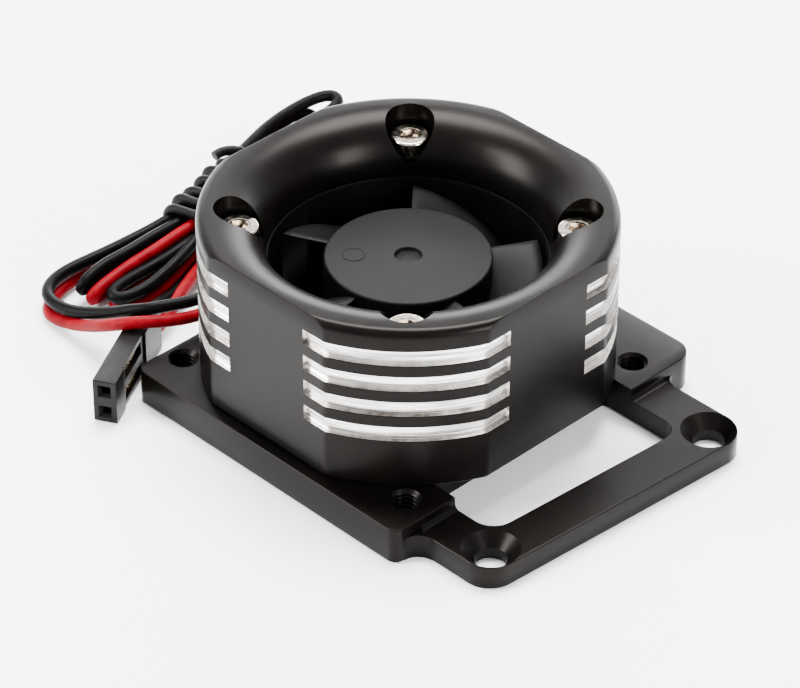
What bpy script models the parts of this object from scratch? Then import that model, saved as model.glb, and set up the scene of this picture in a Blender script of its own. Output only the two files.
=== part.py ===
"""Cooling fan assembly: a 30 mm fan in a machined housing, clamped to a flange plate with a mounting arm.

All dimensions below are in millimetres, measured from the fan's axis (X = Y = 0) and from the underside
of the plate (Z = 0). +X points to the arm's cross bar. Everything hangs from one empty, which puts the
middle of the rigid body's footprint at the world origin. Meshes are stored in metres.
"""

import math

import bpy
import bmesh
from mathutils import Vector

MM = 0.001
GAP = 0.2  # clearance kept between pieces that touch

# Flange plate and its arm
PLATE_T = 4.0
PLATE_X_MIN = -18.55
PLATE_STEP_X = 19.53
PLATE_Y_MIN = -20.87
PLATE_Y_MAX = 22.5
ARM_T = 2.66
ARM_HALF_W = 17.7
WINDOW_HALF_W = 12.68
WINDOW_X_MIN = 15.3
BAR_OUTER_X = 30.35
BAR_INNER_X = 25.55
BAR_SKEW = 0.07  # the cross bar leans this far in X for each millimetre of Y
STEP_FILLET = 0.6
TAPPED_HOLES = 16.3  # corner holes, half pitch
TAPPED_R = 1.27
TAPPED_MOUTH_R = 1.62
SINK_NEAR = (26.35, -14.6)
SINK_FAR = (28.4, 14.7)
SINK_R = 2.95
SINK_HOLE_R = 1.65
DUCT_R = 14.1  # air way through plate and fan frame
COLLAR_HALF = 14.95
COLLAR_TOP = 6.9

# Fan housing
HOUSING_R = 21.3
HOUSING_FLAT = 19.6
HOUSING_TOP = 22.7
HOUSING_BOTTOM = PLATE_T + GAP
SHOULDER_R = 1.0
MOUTH_R = 5.2  # radius of the bell mouth
THROAT_R = 14.3
LEDGE_Z = 17.35
CAVITY_HALF = 15.2
CAVITY_CORNER = 3.2
GROOVE_BOTTOMS = (9.67, 12.7, 15.72, 18.75)
GROOVE_H = 1.7
GROOVE_DEPTH = 0.55
GROOVE_END = 5.4  # distance of a groove's end from the middle of a flat
NOTCH_Y = (-10.6, -1.0)  # the leads leave through the wall here
NOTCH_TOP = 8.7

# Clamp screws
SCREW_HALF_PITCH = 12.0
POCKET_R = 2.55
SEAT_Z = 18.55
HEAD_R = 1.9
HEAD_TOP = 20.6
SHANK_R = 0.95
SHANK_BOTTOM = 0.7
SOCKET_R = 0.87
SOCKET_DEPTH = 1.0
HOLE_R = 1.15

# Fan
FRAME_BOTTOM = 7.1
FRAME_TOP = 17.1
FRAME_HALF = 15.0
FRAME_CORNER = 3.0
FRAME_HOLE_R = 1.6
BASE_R = 8.2
BASE_TOP = 8.3
RECESS_R = 5.0
RECESS_TOP = 7.5
TUBE_R = 3.0
TUBE_BORE = 2.05
TUBE_TOP = 14.9
STRUT_W = 1.5
STRUT_TOP = 8.5
LEAD_STRUT_TOP = 8.7
HUB_R = 8.55
HUB_BORE = 7.85
HUB_RIM = 8.95
HUB_ROOF = 16.2
DIMPLE_R = 1.38
DIMPLE_FLOOR = 16.65
BLADES = 5
BLADE_LEAD = -10.6  # angle of the first blade's leading edge, degrees
BLADE_SPAN = 52.0
BLADE_TIP_R = 13.6
BLADE_HIGH = 16.4
BLADE_LOW = 10.6
BLADE_T = 0.7
SHAFT_R = 0.75

# Leads and what is on them
WIRE_R = 0.675
WIRE_STEP = 3.3  # spacing of the points along a lead
CHANNEL_Y = (-4.9, -1.0)  # lead channel in the fan frame
CHANNEL_TOP = 8.4
HANK_BOTTOM = 0.15
HANK_TOP = 4.75
TIE_R = 0.45
TIE_START = (-33.6, 0.2)  # middle of the hank's waist, where the tie begins
TIE_END = (-36.9, 11.2)
WAIST_HALF = 3.15
WAIST_BOTTOM = 1.2
TIE_TURNS = 4
PLUG_FRONT = (-17.7, -25.85)
PLUG_BACKWARD = (-0.4907, 0.8713)  # from the plug's front face to its wires
PLUG_W = 2.54
PLUG_H = 5.08
PLUG_LENGTH = 14.0
PIN_PITCH = 2.54
PIN_CAVITY = 1.7
PIN_OPENING = 0.9
CONTACT = 1.3
CONTACT_END = 12.0
LEAD_END = 12.3  # the insulation's end, from the plug's front face


def fillet_corner(before, corner, after, radius, step):
    """Points of the arc that rounds one corner of an outline, convex or concave."""
    a = (Vector(before) - Vector(corner)).normalized()
    b = (Vector(after) - Vector(corner)).normalized()
    half = a.angle(b) / 2
    centre = Vector(corner) + (a + b).normalized() * (radius / math.sin(half))
    start = Vector(corner) + a * (radius / math.tan(half)) - centre
    end = Vector(corner) + b * (radius / math.tan(half)) - centre
    sweep = start.angle_signed(end)  # positive is clockwise in Blender
    count = max(2, round(abs(math.degrees(sweep)) / step))
    points = []
    for i in range(count + 1):
        turn = -sweep * i / count
        points.append((centre.x + start.x * math.cos(turn) - start.y * math.sin(turn),
                       centre.y + start.x * math.sin(turn) + start.y * math.cos(turn)))
    return points


def rounded(corners, step=18.0):
    """An outline from (x, y, radius) corners."""
    points = []
    for i, (x, y, radius) in enumerate(corners):
        before = corners[i - 1][:2]
        after = corners[(i + 1) % len(corners)][:2]
        if radius > 0:
            points += fillet_corner(before, (x, y), after, radius, step)
        else:
            points.append((x, y))
    return points


def square(half, radius, step=18.0):
    corners = [(-half, -half, radius), (half, -half, radius), (half, half, radius), (-half, half, radius)]
    return rounded(corners, step)


def circle(radius, count, x=0.0, y=0.0):
    return [(x + radius * math.cos(math.tau * i / count), y + radius * math.sin(math.tau * i / count))
            for i in range(count)]


def arc(cx, cz, rx, rz, start, end, count):
    """Points on an ellipse from one angle to another, degrees."""
    angles = [math.radians(start + (end - start) * i / count) for i in range(count + 1)]
    return [(cx + rx * math.cos(a), cz + rz * math.sin(a)) for a in angles]


def add_prism(bm, outline, low, high):
    """A closed prism on a plan outline."""
    bottom = [bm.verts.new((x, y, low)) for x, y in outline]
    top = [bm.verts.new((x, y, high)) for x, y in outline]
    bm.faces.new(list(reversed(bottom)))
    bm.faces.new(top)
    count = len(outline)
    for i in range(count):
        j = (i + 1) % count
        bm.faces.new((bottom[i], bottom[j], top[j], top[i]))


def add_lathe(bm, profile, count, x=0.0, y=0.0):
    """A closed body turned about Z from a closed (radius, z) profile; radius 0 becomes one point."""
    rings = []
    for radius, z in profile:
        if radius < 1e-6:
            rings.append([bm.verts.new((x, y, z))] * count)
        else:
            rings.append([bm.verts.new((px, py, z)) for px, py in circle(radius, count, x, y)])
    for i, ring in enumerate(rings):
        after = rings[(i + 1) % len(rings)]
        for k in range(count):
            n = (k + 1) % count
            corners = []
            for vert in (ring[k], ring[n], after[n], after[k]):
                if vert not in corners:
                    corners.append(vert)
            if len(corners) > 2:
                bm.faces.new(corners)


def add_box(bm, low, high):
    outline = [(low[0], low[1]), (high[0], low[1]), (high[0], high[1]), (low[0], high[1])]
    add_prism(bm, outline, low[2], high[2])


def make_material(name, color, metallic, roughness):
    material = bpy.data.materials.new(name)
    material.use_nodes = True
    shader = material.node_tree.nodes["Principled BSDF"]
    shader.inputs["Base Color"].default_value = (*color, 1.0)
    shader.inputs["Metallic"].default_value = metallic
    shader.inputs["Roughness"].default_value = roughness
    material.diffuse_color = (*color, 1.0)
    return material


def make_object(name, bm, material=None, parent=None, origin=(0.0, 0.0, 0.0)):
    """Finishes a mesh drawn in millimetres about `origin` and hangs it from the parent."""
    bmesh.ops.recalc_face_normals(bm, faces=bm.faces)
    bmesh.ops.translate(bm, verts=bm.verts, vec=-Vector(origin))
    bmesh.ops.scale(bm, verts=bm.verts, vec=(MM, MM, MM))
    mesh = bpy.data.meshes.new(name)
    bm.to_mesh(mesh)
    bm.free()
    obj = bpy.data.objects.new(name, mesh)
    bpy.context.collection.objects.link(obj)
    obj.location = Vector(origin) * MM
    obj.parent = parent
    if material:
        mesh.materials.append(material)
    return obj


def combine(obj, name, draw, operation="DIFFERENCE"):
    """Cuts or joins a helper shape; `draw` fills its bmesh. The helper stays hidden."""
    bm = bmesh.new()
    draw(bm)
    helper = make_object(f"{obj.name}_{name}", bm, parent=obj.parent)
    helper.hide_render = True
    helper.display_type = "WIRE"
    modifier = obj.modifiers.new(name, "BOOLEAN")
    modifier.operation = operation
    modifier.solver = "EXACT"
    modifier.object = helper


def make_lathe(name, profile, count, material, parent, x=0.0, y=0.0):
    bm = bmesh.new()
    add_lathe(bm, profile, count, x, y)
    return make_object(name, bm, material, parent)


def ring_profile(inner, outer, low, high):
    return [(inner, low), (outer, low), (outer, high), (inner, high)]


def four_corners(half):
    return [(sx * half, sy * half) for sx in (-1, 1) for sy in (-1, 1)]


def plate_corners():
    """Corners of the plate's outline, counter-clockwise from the back left."""
    return [
        (PLATE_X_MIN, PLATE_Y_MIN, 1.2),
        (PLATE_STEP_X, PLATE_Y_MIN, 1.1),
        (PLATE_STEP_X, -ARM_HALF_W, 1.9),
        (BAR_OUTER_X - BAR_SKEW * ARM_HALF_W, -ARM_HALF_W, 3.0),
        (BAR_OUTER_X + BAR_SKEW * ARM_HALF_W, ARM_HALF_W, 3.2),
        (PLATE_STEP_X, ARM_HALF_W, 1.3),
        (PLATE_STEP_X, PLATE_Y_MAX, 2.4),
        (PLATE_X_MIN, PLATE_Y_MAX, 1.8),
    ]


def window_corners():
    return [
        (WINDOW_X_MIN, -WINDOW_HALF_W, 1.4),
        (BAR_INNER_X - BAR_SKEW * WINDOW_HALF_W, -WINDOW_HALF_W, 2.5),
        (BAR_INNER_X + BAR_SKEW * WINDOW_HALF_W, WINDOW_HALF_W, 2.0),
        (WINDOW_X_MIN, WINDOW_HALF_W, 1.4),
    ]


def make_base_plate(material, parent):
    bm = bmesh.new()
    add_prism(bm, rounded(plate_corners()), 0.0, PLATE_T)
    plate = make_object("base_plate", bm, material, parent)

    def arm_step(bm):
        high = PLATE_T + 1.0
        foot = arc(PLATE_STEP_X + STEP_FILLET, ARM_T + STEP_FILLET, STEP_FILLET, STEP_FILLET, 180, 270, 4)
        side = [(PLATE_STEP_X, high)] + foot + [(BAR_OUTER_X + 5.0, ARM_T), (BAR_OUTER_X + 5.0, high)]
        near = [bm.verts.new((x, PLATE_Y_MIN - 1.0, z)) for x, z in side]
        far = [bm.verts.new((x, PLATE_Y_MAX + 1.0, z)) for x, z in side]
        bm.faces.new(near)
        bm.faces.new(list(reversed(far)))
        for i in range(len(side)):
            j = (i + 1) % len(side)
            bm.faces.new((near[j], near[i], far[i], far[j]))

    def collar(bm):
        add_prism(bm, square(COLLAR_HALF, FRAME_CORNER), PLATE_T - 1.0, COLLAR_TOP)

    def holes(bm):
        add_prism(bm, rounded(window_corners()), -1.0, PLATE_T + 1.0)
        add_prism(bm, circle(DUCT_R, 64), -1.0, COLLAR_TOP + 1.0)
        for x, y in four_corners(TAPPED_HOLES):
            mouth = PLATE_T - (TAPPED_MOUTH_R - TAPPED_R)
            profile = [(0, -1.0), (TAPPED_R, -1.0), (TAPPED_R, mouth), (TAPPED_MOUTH_R + 0.5, PLATE_T + 0.5),
                       (0, PLATE_T + 0.5)]
            add_lathe(bm, profile, 20, x, y)
        for x, y in (SINK_NEAR, SINK_FAR):
            cone_foot = ARM_T - (SINK_R - SINK_HOLE_R)
            profile = [(0, -1.0), (SINK_HOLE_R, -1.0), (SINK_HOLE_R, cone_foot), (SINK_R + 0.5, ARM_T + 0.5),
                       (0, ARM_T + 0.5)]
            add_lathe(bm, profile, 28, x, y)

    def screw_holes(bm):
        for x, y in four_corners(SCREW_HALF_PITCH):
            add_prism(bm, circle(HOLE_R, 16, x, y), -1.0, COLLAR_TOP + 1.0)

    combine(plate, "arm_step", arm_step)
    combine(plate, "collar", collar, "UNION")
    combine(plate, "holes", holes)
    combine(plate, "screw_holes", screw_holes)
    return plate


def groove_outline(depth, reach):
    """Plan of one corner's grooves: the housing's outline set in by `depth`, and a margin outside it."""
    flat = HOUSING_FLAT - depth
    radius = HOUSING_R - depth
    turn = math.degrees(math.acos(flat / radius))
    inner = [(flat, GROOVE_END)] + arc(0, 0, radius, radius, turn, 90 - turn, 12) + [(GROOVE_END, flat)]
    return inner + [(GROOVE_END, reach), (reach, reach), (reach, GROOVE_END)]


def make_fan_housing(material, parent):
    mouth = arc(THROAT_R + MOUTH_R, HOUSING_TOP - MOUTH_R, MOUTH_R, MOUTH_R, 90, 180, 8)
    shoulder = arc(HOUSING_R - SHOULDER_R, HOUSING_TOP - SHOULDER_R, SHOULDER_R, SHOULDER_R, 0, 90, 4)
    profile = [(THROAT_R, HOUSING_BOTTOM), (HOUSING_R, HOUSING_BOTTOM)] + shoulder + mouth
    housing = make_lathe("fan_housing", profile, 80, material, parent)

    def flats(bm):
        half = HOUSING_FLAT
        add_box(bm, (-half, -half, 0.0), (half, half, HOUSING_TOP + 5.0))

    def cavity(bm):
        add_prism(bm, square(CAVITY_HALF, CAVITY_CORNER), 0.0, LEDGE_Z)

    def pockets(bm):
        for x, y in four_corners(SCREW_HALF_PITCH):
            add_prism(bm, circle(POCKET_R, 24, x, y), SEAT_Z, HOUSING_TOP + 5.0)

    def small_cuts(bm):
        for x, y in four_corners(SCREW_HALF_PITCH):
            add_prism(bm, circle(HOLE_R, 16, x, y), LEDGE_Z - 1.0, SEAT_Z + 1.0)
        add_box(bm, (-HOUSING_R - 1.0, NOTCH_Y[0], 0.0), (-CAVITY_HALF + 1.0, NOTCH_Y[1], NOTCH_TOP))

    def grooves(bm):
        corner = groove_outline(GROOVE_DEPTH, HOUSING_R + 3.0)
        for quarter in range(4):
            turn = math.radians(90 * quarter)
            outline = [(x * math.cos(turn) - y * math.sin(turn), x * math.sin(turn) + y * math.cos(turn))
                       for x, y in corner]
            for low in GROOVE_BOTTOMS:
                add_prism(bm, outline, low, low + GROOVE_H)

    combine(housing, "flats", flats, "INTERSECT")
    combine(housing, "cavity", cavity)
    combine(housing, "pockets", pockets)
    combine(housing, "small_cuts", small_cuts)
    combine(housing, "grooves", grooves)
    return housing


def make_clamp_screws(material, parent):
    """Four socket-head screws that clamp housing, fan and plate together."""
    names = {(-1, -1): "front_left", (-1, 1): "back_left", (1, -1): "front_right", (1, 1): "back_right"}
    head_bottom = SEAT_Z + GAP
    for (sx, sy), name in names.items():
        x, y = sx * SCREW_HALF_PITCH, sy * SCREW_HALF_PITCH
        profile = [(0, SHANK_BOTTOM), (SHANK_R - 0.3, SHANK_BOTTOM), (SHANK_R, SHANK_BOTTOM + 0.3),
                   (SHANK_R, head_bottom), (HEAD_R, head_bottom), (HEAD_R, HEAD_TOP - 0.25),
                   (HEAD_R - 0.25, HEAD_TOP), (0, HEAD_TOP)]
        screw = make_lathe(f"clamp_screw_{name}", profile, 20, material, parent, x, y)

        def socket(bm, x=x, y=y):
            add_prism(bm, circle(SOCKET_R, 6, x, y), HEAD_TOP - SOCKET_DEPTH, HEAD_TOP + 1.0)

        combine(screw, "socket", socket)


def make_fan_frame(material, parent):
    bm = bmesh.new()
    add_prism(bm, square(FRAME_HALF, FRAME_CORNER), FRAME_BOTTOM, FRAME_TOP)
    frame = make_object("fan_frame", bm, material, parent)

    def bore(bm):
        add_prism(bm, circle(DUCT_R, 48), FRAME_BOTTOM - 1.0, FRAME_TOP + 1.0)

    def spider(bm):
        profile = [(TUBE_BORE, FRAME_BOTTOM), (BASE_R, FRAME_BOTTOM), (BASE_R, BASE_TOP), (TUBE_R, BASE_TOP),
                   (TUBE_R, TUBE_TOP), (TUBE_BORE, TUBE_TOP)]
        add_lathe(bm, profile, 40)

    def struts(bm):
        reach = DUCT_R + 0.5
        inner = BASE_R - 0.8
        add_box(bm, (-reach, CHANNEL_Y[0] - 0.5, FRAME_BOTTOM), (-inner, CHANNEL_Y[1] + 0.5, LEAD_STRUT_TOP))
        add_box(bm, (inner, -STRUT_W / 2, FRAME_BOTTOM), (reach, STRUT_W / 2, STRUT_TOP))
        add_box(bm, (-STRUT_W / 2, inner, FRAME_BOTTOM), (STRUT_W / 2, reach, STRUT_TOP))
        add_box(bm, (-STRUT_W / 2, -reach, FRAME_BOTTOM), (STRUT_W / 2, -inner, STRUT_TOP))

    def holes(bm):
        for x, y in four_corners(SCREW_HALF_PITCH):
            add_prism(bm, circle(FRAME_HOLE_R, 16, x, y), FRAME_BOTTOM - 1.0, FRAME_TOP + 1.0)
        add_prism(bm, circle(RECESS_R, 32), FRAME_BOTTOM - 1.0, RECESS_TOP)

    def lead_channel(bm):
        low = (-FRAME_HALF - 1.0, CHANNEL_Y[0], FRAME_BOTTOM - 1.0)
        add_box(bm, low, (0.4 - BASE_R, CHANNEL_Y[1], CHANNEL_TOP))

    combine(frame, "bore", bore)
    combine(frame, "spider", spider, "UNION")
    combine(frame, "struts", struts, "UNION")
    combine(frame, "holes", holes)
    combine(frame, "lead_channel", lead_channel)
    return frame


def add_blade(bm, lead):
    """One broad blade, high at its leading edge and low at its trailing edge."""
    chord = 7
    root = HUB_R - 0.35
    grid = {}
    for side in (0, 1):
        for i in range(chord + 1):
            along = i / chord
            angle = math.radians(lead - BLADE_SPAN * along)
            z = BLADE_HIGH - (BLADE_HIGH - BLADE_LOW) * (0.62 * along + 0.38 * along * along)
            edge = 0.35 if i in (0, chord) else 1.0
            z += BLADE_T * edge * (0.5 - side)
            for k, radius in enumerate((root, (root + BLADE_TIP_R) / 2, BLADE_TIP_R)):
                grid[side, i, k] = bm.verts.new((radius * math.cos(angle), radius * math.sin(angle), z))
    for i in range(chord):
        for k in range(2):
            bm.faces.new((grid[0, i, k], grid[0, i + 1, k], grid[0, i + 1, k + 1], grid[0, i, k + 1]))
            bm.faces.new((grid[1, i, k], grid[1, i, k + 1], grid[1, i + 1, k + 1], grid[1, i + 1, k]))
        for k in (0, 2):
            bm.faces.new((grid[0, i, k], grid[1, i, k], grid[1, i + 1, k], grid[0, i + 1, k]))
    for i in (0, chord):
        for k in range(2):
            bm.faces.new((grid[0, i, k], grid[0, i, k + 1], grid[1, i, k + 1], grid[1, i, k]))


def make_impeller(material, parent):
    """Hub cup with five blades; its origin is on the shaft's axis."""
    profile = [(0, DIMPLE_FLOOR), (DIMPLE_R, DIMPLE_FLOOR), (DIMPLE_R, FRAME_TOP), (HUB_R - 0.2, FRAME_TOP),
               (HUB_R, FRAME_TOP - 0.2), (HUB_R, HUB_RIM), (HUB_BORE, HUB_RIM), (HUB_BORE, HUB_ROOF),
               (1.8, HUB_ROOF), (1.8, HUB_ROOF - 0.9), (SHAFT_R + 0.05, HUB_ROOF - 0.9),
               (SHAFT_R + 0.05, HUB_ROOF), (0, HUB_ROOF)]
    impeller = make_lathe("impeller", profile, 60, material, parent)

    def blades(bm):
        for k in range(BLADES):
            add_blade(bm, BLADE_LEAD + 360 / BLADES * k)

    combine(impeller, "blades", blades, "UNION")
    return impeller


def make_rotor_inside(steel, ferrite, parent):
    make_lathe("rotor_yoke", ring_profile(7.2, 7.65, 9.3, HUB_ROOF - GAP), 40, steel, parent)
    make_lathe("rotor_magnet", ring_profile(6.05, 7.0, 9.7, 14.7), 40, ferrite, parent)
    foot = RECESS_TOP + 0.05
    top = HUB_ROOF - GAP
    make_lathe("rotor_shaft", [(0, foot), (SHAFT_R, foot), (SHAFT_R, top), (0, top)], 20, steel, parent)
    make_lathe("shaft_clip", ring_profile(SHAFT_R + 0.05, 1.5, 7.66, 7.9), 20, steel, parent)


def make_bearings(steel, parent):
    bore = SHAFT_R + 0.05
    make_lathe("bearing_lower", ring_profile(bore, TUBE_BORE - 0.1, 8.1, 9.6), 24, steel, parent)
    make_lathe("bearing_upper", ring_profile(bore, TUBE_BORE - 0.1, 13.0, 14.6), 24, steel, parent)
    make_tube("preload_spring", spring_points(), 0.14, steel, parent, 1)


def spring_points():
    """A short helix between the two bearings."""
    turns = 3
    steps = 12
    low, high = 9.95, 12.65
    return [(1.45 * math.cos(math.tau * i / steps), 1.45 * math.sin(math.tau * i / steps),
             low + (high - low) * i / (turns * steps)) for i in range(turns * steps + 1)]


def make_stator(steel, copper, parent):
    """Four-pole core round the bearing tube, and one winding on each pole."""
    low, high = 9.9, 13.7
    neck, shoe_in, shoe_out, yoke_r = 0.9, 5.25, 5.8, 3.85
    outline = []
    for pole in range(4):
        middle = 90 * pole
        neck_in = math.degrees(math.asin(neck / yoke_r))
        neck_out = math.degrees(math.asin(neck / shoe_in))
        outline += arc(0, 0, yoke_r, yoke_r, middle - 45, middle - neck_in, 3)
        outline += arc(0, 0, shoe_in, shoe_in, middle - neck_out, middle - 34, 2)
        outline += arc(0, 0, shoe_out, shoe_out, middle - 34, middle + 34, 8)
        outline += arc(0, 0, shoe_in, shoe_in, middle + 34, middle + neck_out, 2)
        outline += arc(0, 0, yoke_r, yoke_r, middle + neck_in, middle + 45, 3)[:-1]
    bm = bmesh.new()
    add_prism(bm, outline, low, high)
    core = make_object("stator_core", bm, steel, parent)
    combine(core, "bore", lambda bm: add_prism(bm, circle(TUBE_R + GAP, 32), low - 1.0, high + 1.0))

    near, far = 4.0, 4.8
    for pole in range(4):
        bm = bmesh.new()
        outer = [(-1.8, low - 0.6), (1.8, low - 0.6), (1.8, high + 0.6), (-1.8, high + 0.6)]
        inner = [(-1.1, low - 0.2), (1.1, low - 0.2), (1.1, high + 0.2), (-1.1, high + 0.2)]
        turn = math.radians(90 * pole)
        loops = []
        for x, ring in ((near, outer), (far, outer), (far, inner), (near, inner)):
            loops.append([bm.verts.new((x * math.cos(turn) - y * math.sin(turn),
                                        x * math.sin(turn) + y * math.cos(turn), z)) for y, z in ring])
        for i in range(4):
            for k in range(4):
                n = (k + 1) % 4
                bm.faces.new((loops[i][k], loops[i][n], loops[(i + 1) % 4][n], loops[(i + 1) % 4][k]))
        make_object(f"stator_coil_{pole + 1}", bm, copper, parent)


def make_circuit(board, chip, label, parent):
    low = BASE_TOP + GAP
    make_lathe("circuit_board", ring_profile(TUBE_R + GAP, 7.0, low, low + 0.5), 40, board, parent)
    bm = bmesh.new()
    offset = 3.6
    add_box(bm, (offset - 0.7, offset - 0.7, BASE_TOP + 0.9), (offset + 0.7, offset + 0.7, BASE_TOP + 1.25))
    make_object("driver_chip", bm, chip, parent)
    low = FRAME_BOTTOM + 0.05
    radius = RECESS_R - 0.2
    high = low + 0.15
    make_lathe("base_label", [(0, low), (radius, low), (radius, high), (0, high)], 32, label, parent)


def make_tube(name, points, radius, material, parent, roundness=2):
    """A round wire along straight stretches between the points."""
    curve = bpy.data.curves.new(name, "CURVE")
    curve.dimensions = "3D"
    curve.bevel_depth = radius * MM
    curve.bevel_resolution = roundness
    curve.use_fill_caps = True
    spline = curve.splines.new("POLY")
    spline.points.add(len(points) - 1)
    for knot, point in zip(spline.points, points):
        knot.co = (*(Vector(point) * MM), 1.0)
    curve.materials.append(material)
    obj = bpy.data.objects.new(name, curve)
    bpy.context.collection.objects.link(obj)
    obj.parent = parent
    return obj


# Free stretches of the leads. "fan" runs from the fan to the hank, and "plug" from the hank to the plug.
LEAD_ROUTES = {
    "lead_red_fan": [(-8.4, -3.5, 7.67), (-12.0, -3.5, 7.67), (-14.9, -3.8, 7.6), (-16.8, -5.7, 6.75),
                     (-18.5, -8.5, 5.8), (-19.5, -11.5, 5.3), (-20.2, -14.9, 5.95), (-21.4, -16.6, 6.02),
                     (-22.9, -18.2, 6.0), (-25.3, -18.7, 4.75), (-29.4, -18.4, 2.1), (-32.6, -18.4, 1.1),
                     (-34.7, -18.45, 0.75), (-35.9, -18.15, 0.72), (-36.9, -17.2, 0.72), (-37.6, -15.7, 0.72),
                     (-38.4, -12.9, 0.75), (-38.4, -10.1, 0.8), (-38.0, -7.1, 1.0), (-37.6, -4.9, 1.2)],
    "lead_black_fan": [(-8.4, -1.9, 7.67), (-12.0, -1.9, 7.67), (-15.1, -2.0, 7.67), (-17.5, -3.7, 7.4),
                       (-19.6, -7.0, 6.95), (-20.6, -10.8, 6.5), (-21.7, -13.6, 6.85), (-22.6, -15.2, 6.5),
                       (-24.5, -16.4, 5.85), (-27.2, -16.8, 4.45), (-30.2, -17.4, 3.3), (-32.8, -18.0, 2.55),
                       (-35.3, -18.0, 2.25), (-36.9, -17.4, 2.15), (-38.1, -15.9, 2.15), (-38.6, -14.0, 2.2),
                       (-38.5, -11.9, 2.35), (-38.0, -9.0, 2.55), (-37.6, -6.5, 2.75), (-37.3, -4.8, 2.9)],
    "lead_red_plug": [(-27.2, -7.4, 1.8), (-26.0, -9.5, 1.6), (-25.1, -11.8, 1.4), (-24.5, -13.8, 1.3),
                      (-23.74, -15.13, 1.3)],
    "lead_black_plug": [(-28.9, -6.8, 0.72), (-28.6, -8.4, 1.1), (-27.6, -10.1, 1.8), (-26.2, -11.7, 3.0),
                        (-24.7, -13.6, 3.8), (-23.74, -15.13, 3.84)],
}

# Outline of the folded hank: plug end, shoulders where the free stretches begin, waist, far end
HANK_OUTLINE = [
    (-36.3, -16.1, 2.2), (-29.95, -13.9, 2.2), (-29.95, -5.7, 0.2), (-26.9, -5.7, 0.6), (-27.4, -3.0, 1.0),
    (-30.2, -1.0, 1.0), (-33.5, 11.8, 1.0), (-34.2, 18.6, 2.0), (-37.6, 20.4, 2.0), (-38.2, 29.8, 2.0),
    (-43.3, 29.8, 2.8), (-43.3, 17.5, 3.0), (-40.0, 11.2, 2.0), (-36.4, -2.2, 0.3), (-38.6, -3.1, 0.4),
    (-38.7, -4.2, 0.3), (-36.3, -4.2, 0.2),
]


def curve_through(points, step):
    """A smooth curve through the points, sampled about `step` apart."""
    knots = [Vector(point) for point in points]
    knots = [2 * knots[0] - knots[1]] + knots + [2 * knots[-1] - knots[-2]]
    samples = []
    for i in range(1, len(knots) - 2):
        a, b, c, d = knots[i - 1:i + 3]
        count = max(1, round((c - b).length / step))
        for k in range(count):
            t = k / count
            samples.append(0.5 * (2 * b + (c - a) * t + (2 * a - 5 * b + 4 * c - d) * t ** 2
                                  + (3 * b - a - 3 * c + d) * t ** 3))
    return [tuple(sample) for sample in samples] + [tuple(points[-1])]


def make_hank(material, parent):
    bm = bmesh.new()
    add_prism(bm, rounded(HANK_OUTLINE, 30.0), HANK_BOTTOM, HANK_TOP)
    hank = make_object("wire_hank", bm, material, parent)

    def under_tie(bm):
        start = Vector(TIE_START)
        end = Vector(TIE_END)
        along = (end - start).normalized()
        across = Vector((along.y, -along.x)) * (WAIST_HALF + 2.0)
        start = start - along
        end = end + along
        corners = [start - across, start + across, end + across, end - across]
        add_prism(bm, [tuple(corner) for corner in corners], HANK_BOTTOM - 1.0, WAIST_BOTTOM)

    combine(hank, "under_tie", under_tie)


def make_twist_tie(material, parent):
    """A thin wire wound round the hank's waist."""
    low = TIE_R + 0.05
    high = HANK_TOP + 0.3 + TIE_R
    half = WAIST_HALF + 0.45 + TIE_R
    cut = 0.5
    ring = [(half, low + cut), (half, high - cut), (half - cut, high), (cut - half, high),
            (-half, high - cut), (-half, low + cut), (cut - half, low), (half - cut, low)]
    start = Vector((*TIE_START, 0.0))
    axis = Vector((*TIE_END, 0.0)) - start
    across = Vector((axis.y, -axis.x, 0.0)).normalized()
    total = len(ring) * TIE_TURNS + 4  # ends on top
    points = []
    for i in range(total):
        side, height = ring[i % len(ring)]
        point = start + axis * (i / (total - 1)) + across * side
        points.append((point.x, point.y, height))
    points += [(-37.6, 12.2, 6.9), (-38.8, 10.9, 7.1), (-39.0, 8.9, 7.1)]
    make_tube("twist_tie", points, TIE_R, material, parent)


def make_plug(plastic, brass, parent):
    """The two-way connector housing on its edge, and a contact in each of its ways; local +X is its back."""
    turn = math.atan2(PLUG_BACKWARD[1], PLUG_BACKWARD[0])
    place = (*PLUG_FRONT, 0.03)
    bm = bmesh.new()
    add_box(bm, (0.0, -PLUG_W / 2, 0.0), (PLUG_LENGTH, PLUG_W / 2, PLUG_H))
    housing = make_object("connector_housing", bm, plastic, parent)
    centres = [PLUG_H / 2 - PIN_PITCH / 2, PLUG_H / 2 + PIN_PITCH / 2]

    def ways(bm):
        half = PIN_CAVITY / 2
        for z in centres:
            add_box(bm, (1.0, -half, z - half), (PLUG_LENGTH + 1.0, half, z + half))

    def openings(bm):
        half = PIN_OPENING / 2
        for z in centres:
            add_box(bm, (-1.0, -half, z - half), (2.0, half, z + half))

    def windows(bm):
        half = PIN_CAVITY / 2 - 0.1
        for z in centres:
            add_box(bm, (3.2, half - 0.1, z - half), (8.6, PLUG_W, z + half))

    combine(housing, "ways", ways)
    combine(housing, "openings", openings)
    combine(housing, "windows", windows)
    parts = [housing]
    for z, name in zip(centres, ("lower", "upper")):
        bm = bmesh.new()
        half = CONTACT / 2
        add_box(bm, (1.3, -half, z - half), (CONTACT_END, half, z + half))
        contact = make_object(f"crimp_contact_{name}", bm, brass, parent)

        def socket(bm, z=z):
            add_box(bm, (0.0, -0.36, z - 0.36), (7.0, 0.36, z + 0.36))

        combine(contact, "socket", socket)
        parts.append(contact)
    for part in parts:
        for obj in [part] + [modifier.object for modifier in part.modifiers]:
            obj.location = Vector(place) * MM
            obj.rotation_euler.z = turn


def clear_scene():
    for obj in list(bpy.data.objects):
        bpy.data.objects.remove(obj)


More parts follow.
